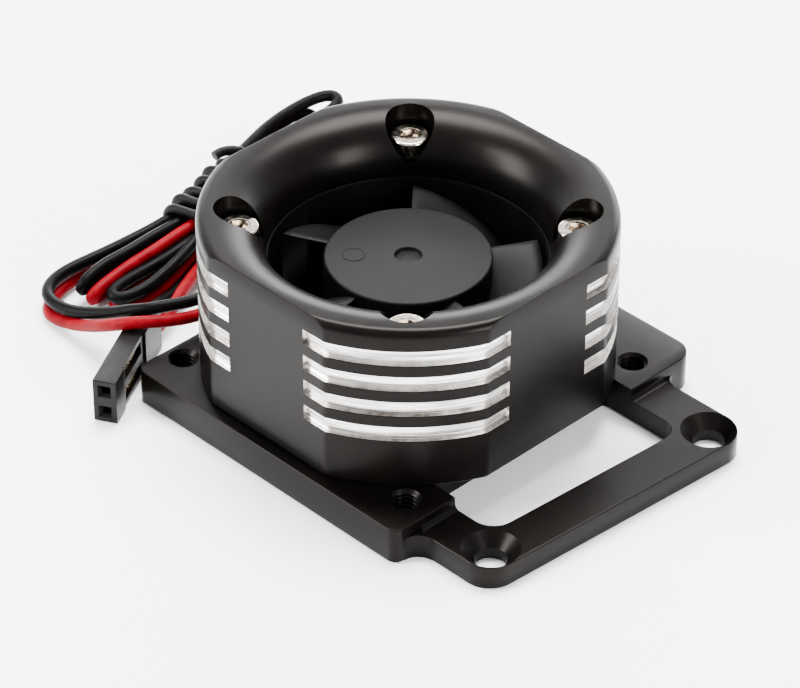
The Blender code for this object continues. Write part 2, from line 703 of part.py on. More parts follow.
def main():
    clear_scene()
    black = make_material("anodised_black", (0.018, 0.017, 0.018), 0.6, 0.38)
    steel = make_material("bright_steel", (0.72, 0.68, 0.62), 1.0, 0.2)
    frame_plastic = make_material("fan_plastic", (0.012, 0.012, 0.012), 0.0, 0.5)
    blade_plastic = make_material("impeller_plastic", (0.045, 0.045, 0.048), 0.0, 0.55)
    iron = make_material("motor_steel", (0.45, 0.45, 0.46), 1.0, 0.35)
    ferrite = make_material("ferrite", (0.03, 0.03, 0.032), 0.2, 0.6)
    copper = make_material("copper_wire", (0.62, 0.24, 0.1), 1.0, 0.3)
    board = make_material("circuit_green", (0.02, 0.14, 0.06), 0.0, 0.4)
    chip = make_material("chip_black", (0.02, 0.02, 0.02), 0.0, 0.5)
    label = make_material("label_foil", (0.5, 0.5, 0.5), 0.6, 0.4)
    red = make_material("wire_red", (0.6, 0.01, 0.015), 0.0, 0.35)
    dark = make_material("wire_black", (0.02, 0.02, 0.022), 0.0, 0.4)
    tie = make_material("tie_plastic", (0.015, 0.015, 0.016), 0.0, 0.5)
    plug_plastic = make_material("plug_plastic", (0.014, 0.014, 0.015), 0.0, 0.45)
    brass = make_material("contact_brass", (0.72, 0.5, 0.2), 1.0, 0.3)

    x_max = max(x for x, _ in rounded(plate_corners()))
    root = bpy.data.objects.new("assembly", None)
    bpy.context.collection.objects.link(root)
    root.location = ((HOUSING_FLAT - x_max) / 2 * MM, -(PLATE_Y_MIN + PLATE_Y_MAX) / 2 * MM, 0.0)

    make_base_plate(black, root)
    make_fan_housing(black, root)
    make_clamp_screws(steel, root)
    make_fan_frame(frame_plastic, root)
    make_impeller(blade_plastic, root)
    make_rotor_inside(iron, ferrite, root)
    make_bearings(iron, root)
    make_stator(iron, copper, root)
    make_circuit(board, chip, label, root)
    for name, points in LEAD_ROUTES.items():
        make_tube(name, curve_through(points, WIRE_STEP), WIRE_R, red if "red" in name else dark, root)
    make_hank(dark, root)
    make_twist_tie(tie, root)
    make_plug(plug_plastic, brass, root)
    bpy.context.view_layer.update()


main()
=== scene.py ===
"""Looks of the hotend fan assembly.

Shapes are drawn in millimetres from the fan's axis (X = Y = 0) and the plate's underside (Z = 0), and
moved into the frame's metres by `place` and `wire_object`.
"""

import math

import bmesh
import bpy
import numpy as np
from mathutils import Matrix, Vector


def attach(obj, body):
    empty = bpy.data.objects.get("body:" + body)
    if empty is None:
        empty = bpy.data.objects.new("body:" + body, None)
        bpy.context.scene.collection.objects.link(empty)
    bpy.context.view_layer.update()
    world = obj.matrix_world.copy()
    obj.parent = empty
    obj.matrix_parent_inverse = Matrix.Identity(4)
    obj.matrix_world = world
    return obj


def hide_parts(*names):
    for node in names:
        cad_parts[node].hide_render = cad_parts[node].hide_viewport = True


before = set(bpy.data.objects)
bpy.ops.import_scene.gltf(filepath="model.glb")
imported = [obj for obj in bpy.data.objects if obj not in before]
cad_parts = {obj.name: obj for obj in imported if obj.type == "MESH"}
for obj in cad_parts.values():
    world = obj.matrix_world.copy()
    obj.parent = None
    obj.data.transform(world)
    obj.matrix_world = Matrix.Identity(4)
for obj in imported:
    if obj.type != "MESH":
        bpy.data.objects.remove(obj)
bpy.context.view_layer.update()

MM = 0.001
ORIGIN = Vector((-5.87468, -0.815, 0.0))  # the fan's axis in the frame, mm
STATIC = "fan_mount"
ROTOR = "rotor"

# Plate
PLATE_T = 4.0
PLATE_X_MIN = -18.55
STEP_X = 19.53
PLATE_Y_MIN = -20.87
PLATE_Y_MAX = 22.5
ARM_T = 2.66
ARM_HALF_W = 17.7
WINDOW_HALF_W = 12.68
WINDOW_X_MIN = 15.3
BAR_OUTER_X = 30.35
BAR_INNER_X = 25.55
BAR_SKEW = 0.07
EDGE = 0.16  # broken edge of the machined pieces
STEP_FILLET = 0.6
DUCT_R = 14.1
COLLAR_HALF = 14.95
COLLAR_TOP = 6.9
SCREW_HOLE_R = 1.1
TAPPED_HOLES = 16.3  # corner holes, half pitch
THREAD_PITCH = 0.5
THREAD_MINOR_R = 1.22
THREAD_MAJOR_R = 1.5
SINKS = ((26.35, -14.6), (28.4, 14.7))  # countersunk holes
SINK_R = 2.95
SINK_HOLE_R = 1.65

# Housing
HOUSING_R = 21.3
HOUSING_FLAT = 19.6
HOUSING_TOP = 22.7
HOUSING_BOTTOM = 4.2
SHOULDER_R = 1.0
MOUTH_R = 5.2
THROAT_R = 14.3
LEDGE_Z = 17.35
CAVITY_HALF = 15.2
CAVITY_CORNER = 3.2
GROOVE_BOTTOMS = (9.67, 12.7, 15.72, 18.75)
GROOVE_H = 1.7
GROOVE_DEPTH = 0.55
GROOVE_END = 5.4  # distance of a groove's end from the middle of a flat
NOTCH_Y = (-10.6, -1.0)  # the leads leave through the wall here
NOTCH_TOP = 8.7

# Clamp screws
SCREW_HALF_PITCH = 12.0
POCKET_R = 2.55
POCKET_HOLE_R = 1.15
SEAT_Z = 18.55
HEAD_R = 2.04
HEAD_TOP = 20.6
HEAD_ROUND = 0.28
SHANK_R = 0.95
SHANK_BOTTOM = 0.7
SOCKET_R = 1.02
SOCKET_DEPTH = 1.0

# Fan
FRAME_BOTTOM = 7.1
FRAME_TOP = 17.1
FRAME_HALF = 15.0
FRAME_CORNER = 3.0
FRAME_HOLE_R = 1.6
BASE_R = 8.2
BASE_TOP = 8.3
RECESS_R = 5.0
RECESS_TOP = 7.5
TUBE_R = 3.0
TUBE_BORE = 2.05
TUBE_TOP = 14.9
STRUT_TOP = 8.5
LEAD_STRUT_TOP = 8.7
CHANNEL_Y = (-4.9, -1.0)
CHANNEL_TOP = 8.4
HUB_R = 8.55
HUB_BORE = 7.85
HUB_RIM = 8.95
HUB_ROOF = 16.2
HUB_ROUND = 0.25
DIMPLE_R = 1.38
BLADES = 5
BLADE_LEAD = -10.6  # angle of the first blade's leading edge, degrees
BLADE_SPAN = 52.0
BLADE_ROOT_R = 8.3
BLADE_TIP_R = 13.6
BLADE_HIGH = 16.4
BLADE_LOW = 10.6
BLADE_T = 0.7

# Leads, tie and plug
WIRE_D = 1.35
WIRE_R = WIRE_D / 2
LEAD_STEP = 0.75  # spacing of the points along a lead
TIE_R = 0.56
TIE_TURNS = 5
PLUG_LENGTH = 14.0
PLUG_HALF_W = 1.27
PLUG_H = 5.08
PIN_HEIGHTS = (1.27, 3.81)

# Studio
FLOOR_SIDE = 1.6  # metres, as are all of these
FLOOR_RISE_AT = 0.5
FLOOR_CURVE_R = 0.4
FLOOR_DROP = 0.0001
BEHIND = Vector((-0.714, 0.700))  # away from the camera
ASIDE = Vector((0.700, 0.714))
WORLD_LIGHT = 1.2
LIGHTS = [
    ("top", (-0.2, 0.22, 0.8), (0.6, 0.4), 34.0),
    ("left_front", (-0.5, -0.65, 0.45), (0.35, 0.6), 22.0),
    ("right_front", (0.85, 0.0, 0.35), (0.3, 0.5), 14.0),
    ("back_strip", (-0.5, 0.65, 0.25), (0.9, 0.2), 8.0),
]

# Camera
CAMERA_AZIMUTH = 45.556
CAMERA_ELEVATION = 36.016
CAMERA_ROLL = 0.118
CAMERA_TARGET = Vector((-2.413, 1.234, 4.103))
CAMERA_DISTANCE = 402.609
CAMERA_LENS = 175.55

def arc(cx, cy, rx, ry, start, end, count):
    """Points on an ellipse from one angle to another, degrees."""
    angles = [math.radians(start + (end - start) * i / count) for i in range(count + 1)]
    return [(cx + rx * math.cos(a), cy + ry * math.sin(a)) for a in angles]


def circle(radius, count, x=0.0, y=0.0):
    return [(x + radius * math.cos(math.tau * i / count), y + radius * math.sin(math.tau * i / count))
            for i in range(count)]


def fillet_corner(before, corner, after, radius, step):
    a = (Vector(before) - Vector(corner)).normalized()
    b = (Vector(after) - Vector(corner)).normalized()
    half = a.angle(b) / 2
    centre = Vector(corner) + (a + b).normalized() * (radius / math.sin(half))
    start = Vector(corner) + a * (radius / math.tan(half)) - centre
    end = Vector(corner) + b * (radius / math.tan(half)) - centre
    sweep = -start.angle_signed(end)
    count = max(2, round(abs(math.degrees(sweep)) / step))
    points = []
    for i in range(count + 1):
        turn = sweep * i / count
        points.append((centre.x + start.x * math.cos(turn) - start.y * math.sin(turn),
                       centre.y + start.x * math.sin(turn) + start.y * math.cos(turn)))
    return points


def rounded(corners, step=6.0):
    """An outline from (x, y, radius) corners."""
    points = []
    for i, (x, y, radius) in enumerate(corners):
        points += fillet_corner(corners[i - 1][:2], (x, y), corners[(i + 1) % len(corners)][:2], radius, step)
    return points


def offset(outline, distance):
    """The outline moved outwards (its points run counter-clockwise)."""
    count = len(outline)
    moved = []
    for i, point in enumerate(outline):
        a = Vector(point) - Vector(outline[i - 1])
        b = Vector(outline[(i + 1) % count]) - Vector(point)
        na = Vector((a.y, -a.x)).normalized()
        nb = Vector((b.y, -b.x)).normalized()
        n = (na + nb).normalized()
        moved.append(tuple(Vector(point) + n * (distance / max(0.4, n.dot(na)))))
    return moved


def add_loft(bm, loops):
    """A closed body through loops of equal length, first to last, capped at both ends."""
    rings = [[bm.verts.new(point) for point in loop] for loop in loops]
    count = len(rings[0])
    bm.faces.new(list(reversed(rings[0])))
    bm.faces.new(rings[-1])
    for low, high in zip(rings, rings[1:]):
        for i in range(count):
            j = (i + 1) % count
            bm.faces.new((low[i], low[j], high[j], high[i]))


def add_prism(bm, outline, low, high, edge=0.0):
    """A prism, its two rims rounded by `edge`."""
    levels = [(low, 0.0), (high, 0.0)]
    if edge:
        rim = [(edge - edge * math.cos(a), edge * math.sin(a) - edge)
               for a in (math.radians(90 * i / 3) for i in range(4))]
        levels = [(low + z, inset) for z, inset in rim] + [(high - z, inset) for z, inset in reversed(rim)]
    add_loft(bm, [[(x, y, z) for x, y in (offset(outline, inset) if inset else outline)]
                  for z, inset in levels])


def square(half, radius):
    """A rounded square about the fan's axis."""
    corners = [(-half, -half), (half, -half), (half, half), (-half, half)]
    return rounded([(x, y, radius) for x, y in corners])


def add_lathe(bm, profile, count, x=0.0, y=0.0):
    """A closed body turned about Z from a closed (radius, z) profile; radius 0 becomes one point."""
    rings = []
    for radius, z in profile:
        if radius < 1e-6:
            rings.append([bm.verts.new((x, y, z))] * count)
        else:
            rings.append([bm.verts.new((px, py, z)) for px, py in circle(radius, count, x, y)])
    for i, ring in enumerate(rings):
        after = rings[(i + 1) % len(rings)]
        for k in range(count):
            n = (k + 1) % count
            corners = []
            for vert in (ring[k], ring[n], after[n], after[k]):
                if vert not in corners:
                    corners.append(vert)
            if len(corners) > 2:
                bm.faces.new(corners)


def place(name, bm, materials):
    """Finishes a mesh drawn in millimetres about the fan's axis."""
    bmesh.ops.recalc_face_normals(bm, faces=bm.faces)
    bmesh.ops.translate(bm, verts=bm.verts, vec=ORIGIN)
    bmesh.ops.scale(bm, verts=bm.verts, vec=(MM, MM, MM))
    mesh = bpy.data.meshes.new(name)
    bm.to_mesh(mesh)
    bm.free()
    for material in materials:
        mesh.materials.append(material)
    obj = bpy.data.objects.new(name, mesh)
    bpy.context.collection.objects.link(obj)
    return obj


def smooth(obj, degrees=30.0):
    """Shades the mesh smooth, with edges sharper than this left sharp."""
    mesh = obj.data
    mesh.polygons.foreach_set("use_smooth", np.ones(len(mesh.polygons), bool))
    mesh.set_sharp_from_angle(angle=math.radians(degrees))
    mesh.update()


def boolean(obj, operation, draw):
    """Joins or cuts a shape that `draw` makes, at once, and drops the helper."""
    bm = bmesh.new()
    draw(bm)
    helper = place("helper", bm, list(obj.data.materials)[:1])
    modifier = obj.modifiers.new(operation, "BOOLEAN")
    modifier.operation = operation
    modifier.solver = "EXACT"
    modifier.object = helper
    modifier.material_mode = "TRANSFER"
    bpy.context.view_layer.update()
    result = bpy.data.meshes.new_from_object(obj.evaluated_get(bpy.context.evaluated_depsgraph_get()))
    obj.modifiers.clear()
    obj.data = result
    bpy.data.objects.remove(helper)


def four_corners(half):
    return [(sx * half, sy * half) for sx in (-1, 1) for sy in (-1, 1)]


def stand_for(obj, body, slot, *nodes):
    """The piece moves with a body and takes the place of these CAD nodes."""
    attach(obj, body)
    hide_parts(*nodes)


# ---------------------------------------------------------------- materials


class Nodes:
    """Short-hand for building one material's nodes."""

    def __init__(self, name):
        self.material = bpy.data.materials.new(name)
        self.material.use_nodes = True
        self.tree = self.material.node_tree
        self.shader = self.tree.nodes["Principled BSDF"]

    def add(self, kind, **values):
        node = self.tree.nodes.new(kind)
        for key, value in values.items():
            if key in node.inputs:
                node.inputs[key].default_value = value
            else:
                setattr(node, key, value)
        return node

    def link(self, source, output, target, name):
        self.tree.links.new(source.outputs[output], target.inputs[name])

    def set(self, **values):
        for key, value in values.items():
            self.shader.inputs[key.replace("_", " ")].default_value = value

    def coords(self, scale):
        """Position in the frame's metres, stretched."""
        place_at = self.add("ShaderNodeTexCoord")
        mapping = self.add("ShaderNodeMapping")
        mapping.inputs["Scale"].default_value = scale
        self.link(place_at, "Object", mapping, "Vector")
        return mapping

    def noise(self, size_mm, stretch=(1.0, 1.0, 1.0), detail=4.0, rough=0.55):
        """Noise with features about this many millimetres across."""
        mapping = self.coords(tuple(s / (size_mm * MM) for s in stretch))
        texture = self.add("ShaderNodeTexNoise", Scale=1.0, Detail=detail, Roughness=rough)
        self.link(mapping, "Vector", texture, "Vector")
        return texture

    def ramp(self, source, output, low, high, to_low, to_high):
        span = self.add("ShaderNodeMapRange")
        span.inputs["From Min"].default_value = low
        span.inputs["From Max"].default_value = high
        span.inputs["To Min"].default_value = to_low
        span.inputs["To Max"].default_value = to_high
        self.link(source, output, span, "Value")
        return span

    def colours(self, source, output, dark, light, low=0.35, high=0.65):
        mix = self.add("ShaderNodeValToRGB")
        mix.color_ramp.elements[0].position = low
        mix.color_ramp.elements[1].position = high
        mix.color_ramp.elements[0].color = (*dark, 1.0)
        mix.color_ramp.elements[1].color = (*light, 1.0)
        self.link(source, output, mix, "Fac")
        self.link(mix, "Color", self.shader, "Base Color")

    def bump(self, source, output, height_mm, strength):
        bump = self.add("ShaderNodeBump", Strength=strength, Distance=height_mm * MM)
        self.link(source, output, bump, "Height")
        self.link(bump, "Normal", self.shader, "Normal")


def anodised():
    """Satin black anodising on fine bead-blasted aluminium."""
    n = Nodes("anodised_black")
    n.set(Metallic=0.0, Specular_IOR_Level=0.075, Specular_Tint=(1.0, 0.94, 0.9, 1.0))
    cloud = n.noise(9.0, detail=3.0)
    n.colours(cloud, "Fac", (0.0009, 0.0007, 0.0006), (0.0018, 0.0014, 0.0012))
    grain = n.noise(0.15, detail=2.0)
    rough = n.ramp(cloud, "Fac", 0.3, 0.7, 0.28, 0.33)
    n.link(rough, "Result", n.shader, "Roughness")
    n.bump(grain, "Fac", 0.01, 0.6)
    return n.material


def bare_groove():
    """Bright milled aluminium: fine milling lines round the housing, with broad darker bands among them that
    are a painted reflection of the darker surroundings.
    """
    n = Nodes("bare_aluminium")
    n.set(Metallic=1.0)
    lines = n.noise(0.42, stretch=(0.022, 0.022, 1.0), detail=6.0, rough=0.8)
    # The dark end of this ramp is painted reflection: darker streaks standing for the dark surroundings
    # mirrored in the groove. The fine lines are the real milling marks.
    n.colours(lines, "Fac", (0.2, 0.18, 0.165), (0.9, 0.88, 0.855), 0.42, 0.56)
    rough = n.ramp(lines, "Fac", 0.4, 0.6, 0.36, 0.2)
    n.link(rough, "Result", n.shader, "Roughness")
    n.bump(lines, "Fac", 0.03, 0.8)
    return n.material


def bright_steel():
    """Nickel-plated screw heads, warm in tone, their base colour kept dark as painted shade for the socket's
    inside.
    """
    n = Nodes("bright_steel")
    n.set(Metallic=1.0)
    marks = n.noise(0.5, detail=5.0)
    # This dark base colour is painted shade: it stands for the shadowed inside of the socket, and darkens the
    # whole screw.
    n.colours(marks, "Fac", (0.3, 0.26, 0.215), (0.6, 0.545, 0.47), 0.38, 0.6)
    rough = n.ramp(marks, "Fac", 0.3, 0.7, 0.09, 0.18)
    n.link(rough, "Result", n.shader, "Roughness")
    n.bump(marks, "Fac", 0.006, 0.3)
    return n.material


def plastic(name, dark, light, roughness, grain_mm=0.1, height=0.006, shine=0.14):
    """Moulded plastic with a fine spark-eroded grain."""
    n = Nodes(name)
    n.set(Metallic=0.0, Specular_IOR_Level=shine)
    cloud = n.noise(4.0, detail=3.0)
    n.colours(cloud, "Fac", dark, light)
    rough = n.ramp(cloud, "Fac", 0.3, 0.7, roughness - 0.03, roughness + 0.04)
    n.link(rough, "Result", n.shader, "Roughness")
    grain = n.noise(grain_mm, detail=2.0)
    n.bump(grain, "Fac", height, 0.5)
    return n.material


def wire_cover(name, dark, light):
    """Soft extruded insulation: faint long ripples and small dull patches."""
    n = Nodes(name)
    n.set(Metallic=0.0, Specular_IOR_Level=0.035)
    patches = n.noise(1.6, detail=4.0)
    n.colours(patches, "Fac", dark, light, 0.3, 0.7)
    rough = n.ramp(patches, "Fac", 0.3, 0.7, 0.33, 0.46)
    n.link(rough, "Result", n.shader, "Roughness")
    n.bump(patches, "Fac", 0.012, 0.6)
    return n.material


def metal(name, dark, light, roughness):
    """Plain metal with fine uneven marks."""
    n = Nodes(name)
    n.set(Metallic=1.0)
    marks = n.noise(0.3, detail=4.0)
    n.colours(marks, "Fac", dark, light)
    rough = n.ramp(marks, "Fac", 0.3, 0.7, roughness - 0.06, roughness + 0.08)
    n.link(rough, "Result", n.shader, "Roughness")
    n.bump(marks, "Fac", 0.004, 0.4)
    return n.material


def copper_winding():
    """Enamelled wire laid round and round: the ripple is one wire wide."""
    n = Nodes("copper_winding")
    n.set(Metallic=1.0, Roughness=0.28, Coat_Weight=0.4)
    mapping = n.coords((1 / MM, 1 / MM, 1 / MM))
    rows = n.add("ShaderNodeTexWave", Scale=1.6, Distortion=0.3, Detail=1.0)
    rows.wave_type = "RINGS"
    rows.rings_direction = "Z"
    n.link(mapping, "Vector", rows, "Vector")
    n.colours(rows, "Fac", (0.42, 0.13, 0.05), (0.72, 0.3, 0.13), 0.1, 0.9)
    n.bump(rows, "Fac", 0.04, 0.8)
    return n.material


MATERIALS = {
    "anodised": anodised(),
    "groove": bare_groove(),
    "screw": bright_steel(),
    # The fan frame's black is darker than the impeller's: partly its own black plastic, partly painted shade
    # for its bore down inside the housing.
    "frame": plastic("fan_plastic", (0.0006, 0.0005, 0.0005), (0.0012, 0.001, 0.001), 0.5, shine=0.03),
    "impeller": plastic("impeller_plastic", (0.0019, 0.0018, 0.0019), (0.0030, 0.0029, 0.0030), 0.5,
                        grain_mm=0.14, height=0.012, shine=0.07),
    "plug": plastic("plug_plastic", (0.002, 0.0017, 0.0017), (0.0038, 0.0034, 0.0034), 0.32, shine=0.1),
    "tie": plastic("tie_plastic", (0.0018, 0.0018, 0.0018), (0.0034, 0.0034, 0.0034), 0.42,
                   grain_mm=0.3, height=0.01, shine=0.06),
    "chip": plastic("chip_black", (0.012, 0.012, 0.013), (0.02, 0.02, 0.021), 0.55),
    "ferrite": plastic("ferrite", (0.02, 0.02, 0.022), (0.034, 0.034, 0.036), 0.62),
    "red": wire_cover("wire_red", (0.1, 0.0, 0.003), (0.17, 0.0, 0.005)),
    "black": wire_cover("wire_black", (0.0012, 0.001, 0.001), (0.0024, 0.002, 0.002)),
    "steel": metal("motor_steel", (0.36, 0.36, 0.37), (0.56, 0.56, 0.57), 0.3),
    "brass": metal("contact_brass", (0.62, 0.44, 0.2), (0.86, 0.68, 0.38), 0.24),
    "label": metal("label_foil", (0.42, 0.42, 0.43), (0.56, 0.56, 0.57), 0.42),
    "copper": copper_winding(),
    "board": plastic("circuit_green", (0.01, 0.09, 0.035), (0.02, 0.15, 0.06), 0.3),
}


# ---------------------------------------------------------------- plate


def plate_corners():
    return [
        (PLATE_X_MIN, PLATE_Y_MIN, 1.2), (STEP_X, PLATE_Y_MIN, 1.1),
        (STEP_X, PLATE_Y_MAX, 2.4), (PLATE_X_MIN, PLATE_Y_MAX, 1.8),
    ]


def thread_cutter(bm, x, y, low, high):
    """A screw-shaped cutter: its radius follows the thread all the way up, and flares at the mouth."""
    around, per_turn = 40, 10
    count = round((high - low) / THREAD_PITCH * per_turn)
    loops = []
    for i in range(count + 1):
        z = low + (high - low) * i / count
        loop = []
        for k in range(around):
            angle = math.tau * k / around
            phase = (z / THREAD_PITCH - k / around) % 1.0
            crest = min(1.0, max(0.0, 1.35 - abs(phase - 0.5) * 3.4))
            radius = THREAD_MINOR_R + (THREAD_MAJOR_R - THREAD_MINOR_R) * crest
            flare = THREAD_MAJOR_R + 0.12 - (PLATE_T - z)
            radius = max(radius, flare)
            loop.append((x + radius * math.cos(angle), y + radius * math.sin(angle), z))
        loops.append(loop)
    add_loft(bm, loops)


def build_plate():
    bm = bmesh.new()
    add_prism(bm, rounded(plate_corners()), 0.0, PLATE_T, EDGE)
    plate = place("base_plate_visual", bm, [MATERIALS["anodised"]])

    def arm(bm):
        root = WINDOW_X_MIN - 3.0
        near = BAR_OUTER_X - BAR_SKEW * ARM_HALF_W
        far = BAR_OUTER_X + BAR_SKEW * ARM_HALF_W
        corners = [(root, -ARM_HALF_W, 0.5), (near, -ARM_HALF_W, 3.0), (far, ARM_HALF_W, 3.2),
                   (root, ARM_HALF_W, 0.5)]
        add_prism(bm, rounded(corners), 0.0, ARM_T, EDGE)

    def step_foot(bm):
        """The milled fillet along the foot of the step."""
        radius = STEP_FILLET
        side = [(STEP_X - 0.5, ARM_T - 0.4), (STEP_X + radius, ARM_T - 0.4), (STEP_X + radius, ARM_T)]
        side += arc(STEP_X + radius, ARM_T + radius, radius, radius, 270, 180, 8)[1:]
        side += [(STEP_X - 0.5, ARM_T + radius)]
        reach = ARM_HALF_W - 0.25
        add_loft(bm, [[(x, y, z) for x, z in side] for y in (-reach, reach)])

    def notch(bm, sign, radius):
        """Concave fillet in plan where an arm meets the plate."""
        x, y = STEP_X, sign * ARM_HALF_W
        inside = 0.6
        end = 90 if sign < 0 else 270
        outline = [(x - inside, y - sign * inside), (x - inside, y + sign * radius)]
        outline += arc(x + radius, y + sign * radius, radius, radius, 180, end, 10)
        outline += [(x + radius, y - sign * inside)]
        if sign > 0:
            outline.reverse()
        add_prism(bm, outline, 0.0, ARM_T)

    def collar(bm):
        add_prism(bm, square(COLLAR_HALF, FRAME_CORNER), PLATE_T - 1.0, COLLAR_TOP, 0.15)

    boolean(plate, "UNION", arm)
    boolean(plate, "UNION", step_foot)
    boolean(plate, "UNION", lambda bm: notch(bm, -1, 1.9))
    boolean(plate, "UNION", lambda bm: notch(bm, 1, 1.3))
    boolean(plate, "UNION", collar)

    def window(bm):
        """The window's rim is broken on the underside."""
        corners = [
            (WINDOW_X_MIN, -WINDOW_HALF_W, 1.4),
            (BAR_INNER_X - BAR_SKEW * WINDOW_HALF_W, -WINDOW_HALF_W, 2.5),
            (BAR_INNER_X + BAR_SKEW * WINDOW_HALF_W, WINDOW_HALF_W, 2.0),
            (WINDOW_X_MIN, WINDOW_HALF_W, 1.4),
        ]
        outline = rounded(corners)
        levels = [(-1.0, EDGE), (0.0, EDGE), (EDGE, 0.0), (PLATE_T + 2.0, 0.0)]
        add_loft(bm, [[(x, y, z) for x, y in offset(outline, grow)] for z, grow in levels])

    def bores(bm):
        add_prism(bm, circle(DUCT_R, 160), -1.0, COLLAR_TOP + 1.0)
        for x, y in four_corners(SCREW_HALF_PITCH):
            add_prism(bm, circle(SCREW_HOLE_R, 40, x, y), -1.0, COLLAR_TOP + 1.0)

    def threads(bm):
        for x, y in four_corners(TAPPED_HOLES):
            thread_cutter(bm, x, y, -0.5, PLATE_T + 0.5)

    def countersinks(bm):
        foot = ARM_T - (SINK_R - SINK_HOLE_R)
        rim = SINK_R + 0.12
        profile = [(0, -1.0), (SINK_HOLE_R + 0.15, -1.0), (SINK_HOLE_R + 0.15, 0.0), (SINK_HOLE_R, 0.15),
                   (SINK_HOLE_R, foot), (SINK_R, ARM_T), (rim, ARM_T + 0.04), (rim, ARM_T + 1.0),
                   (0, ARM_T + 1.0)]
        for x, y in SINKS:
            add_lathe(bm, profile, 96, x, y)

    boolean(plate, "DIFFERENCE", window)
    boolean(plate, "DIFFERENCE", bores)
    boolean(plate, "DIFFERENCE", threads)
    boolean(plate, "DIFFERENCE", countersinks)
    smooth(plate)
    stand_for(plate, STATIC, "anodised_aluminium", "base_plate")


# ---------------------------------------------------------------- housing


def housing_columns():
    """(angle, outer radius, inner radius, in a groove, angle from the flat) round the housing."""
    half_chord = math.sqrt(HOUSING_R ** 2 - HOUSING_FLAT ** 2)
    on_flat = [0.0, 1.5, 3.0, 4.5, GROOVE_END - 0.02, GROOVE_END + 0.02, 6.2, 7.2, 8.0, half_chord]
    edge = math.atan2(half_chord, HOUSING_FLAT)
    sweep = math.pi / 2 - 2 * edge
    steps = 56
    rising = [(math.atan2(t, HOUSING_FLAT), t > GROOVE_END) for t in on_flat]
    curved = [(edge + sweep * i / steps, True) for i in range(1, steps)]
    falling = [(math.pi / 2 - math.atan2(t, HOUSING_FLAT), t > GROOVE_END) for t in reversed(on_flat[1:])]
    columns = []
    for quarter in range(4):
        base = math.pi / 2 * quarter
        for angle, grooved in rising + curved + falling:
            local = min(angle, math.pi / 2 - angle)
            outer = min(HOUSING_R, HOUSING_FLAT / math.cos(local))
            columns.append((base + angle, outer, cavity_radius(local), grooved, local))
    return columns


def cavity_radius(local):
    """Distance to the wall of the rounded square cavity, for an angle within 45 degrees of a side."""
    straight = CAVITY_HALF / math.cos(local)
    centre = CAVITY_HALF - CAVITY_CORNER
    if math.sin(local) * straight <= centre:
        return straight
    along = centre * (math.cos(local) + math.sin(local))
    return along + math.sqrt(max(0.0, along ** 2 - 2 * centre ** 2 + CAVITY_CORNER ** 2))


def groove_floor(local, outer):
    """Radius of a groove's floor: the outline set in by its depth."""
    flat = (HOUSING_FLAT - GROOVE_DEPTH) / math.cos(local)
    return min(outer - 0.01, HOUSING_R - GROOVE_DEPTH, flat)


def shoulder_height(radius):
    """Height of the housing's outer shoulder at a radius."""
    start = HOUSING_R - SHOULDER_R
    if radius <= start:
        return HOUSING_TOP
    return HOUSING_TOP - SHOULDER_R + math.sqrt(max(0.0, SHOULDER_R ** 2 - (radius - start) ** 2))


def column_profile(outer, inner, grooved, local):
    """(radius, z, bare metal) from the cavity's foot round the outside to the cavity's roof."""
    foot = 0.12
    points = [(inner, HOUSING_BOTTOM, 0), (outer - foot, HOUSING_BOTTOM, 0),
              (outer, HOUSING_BOTTOM + foot, 0)]
    floor = groove_floor(local, outer)
    lip = 0.05
    for low in GROOVE_BOTTOMS:
        high = low + GROOVE_H
        if grooved:
            points += [(outer, low - lip, 0), (outer - lip, low, 1), (floor + lip, low, 1),
                       (floor, low + lip, 1), (floor, high - lip, 1), (floor + lip, high, 1),
                       (outer - lip, high, 1), (outer, high + lip, 0)]
        else:
            points += [(outer, low - lip, 0), (outer, low, 1), (outer, low + 0.02, 1),
                       (outer, low + lip, 1), (outer, high - lip, 1), (outer, high - 0.02, 1),
                       (outer, high, 1), (outer, high + lip, 0)]
    edge = 0.1
    corner = 0.3 * edge
    points += [(outer, shoulder_height(outer) - edge, 0),
               (outer - corner, shoulder_height(outer - corner) - corner, 0)]
    start = outer - edge
    rim = HOUSING_R - SHOULDER_R
    lip_in = THROAT_R + MOUTH_R
    if start > rim:
        full = math.acos(min(1.0, (start - rim) / SHOULDER_R))
        angles = [full + (math.pi / 2 - full) * i / 8 for i in range(9)]
        middle = HOUSING_TOP - SHOULDER_R
        points += [(rim + SHOULDER_R * math.cos(a), middle + SHOULDER_R * math.sin(a), 0) for a in angles]
    else:
        points += [(start + (lip_in + 0.02 - start) * i / 9, HOUSING_TOP, 0) for i in range(9)]
    points += [(lip_in, HOUSING_TOP, 0)]
    mouth = arc(lip_in, HOUSING_TOP - MOUTH_R, MOUTH_R, MOUTH_R, 90, 180, 30)
    points += [(r, z, 0) for r, z in mouth[1:]]
    points += [(THROAT_R, LEDGE_Z, 0), (inner, LEDGE_Z, 0)]
    return points


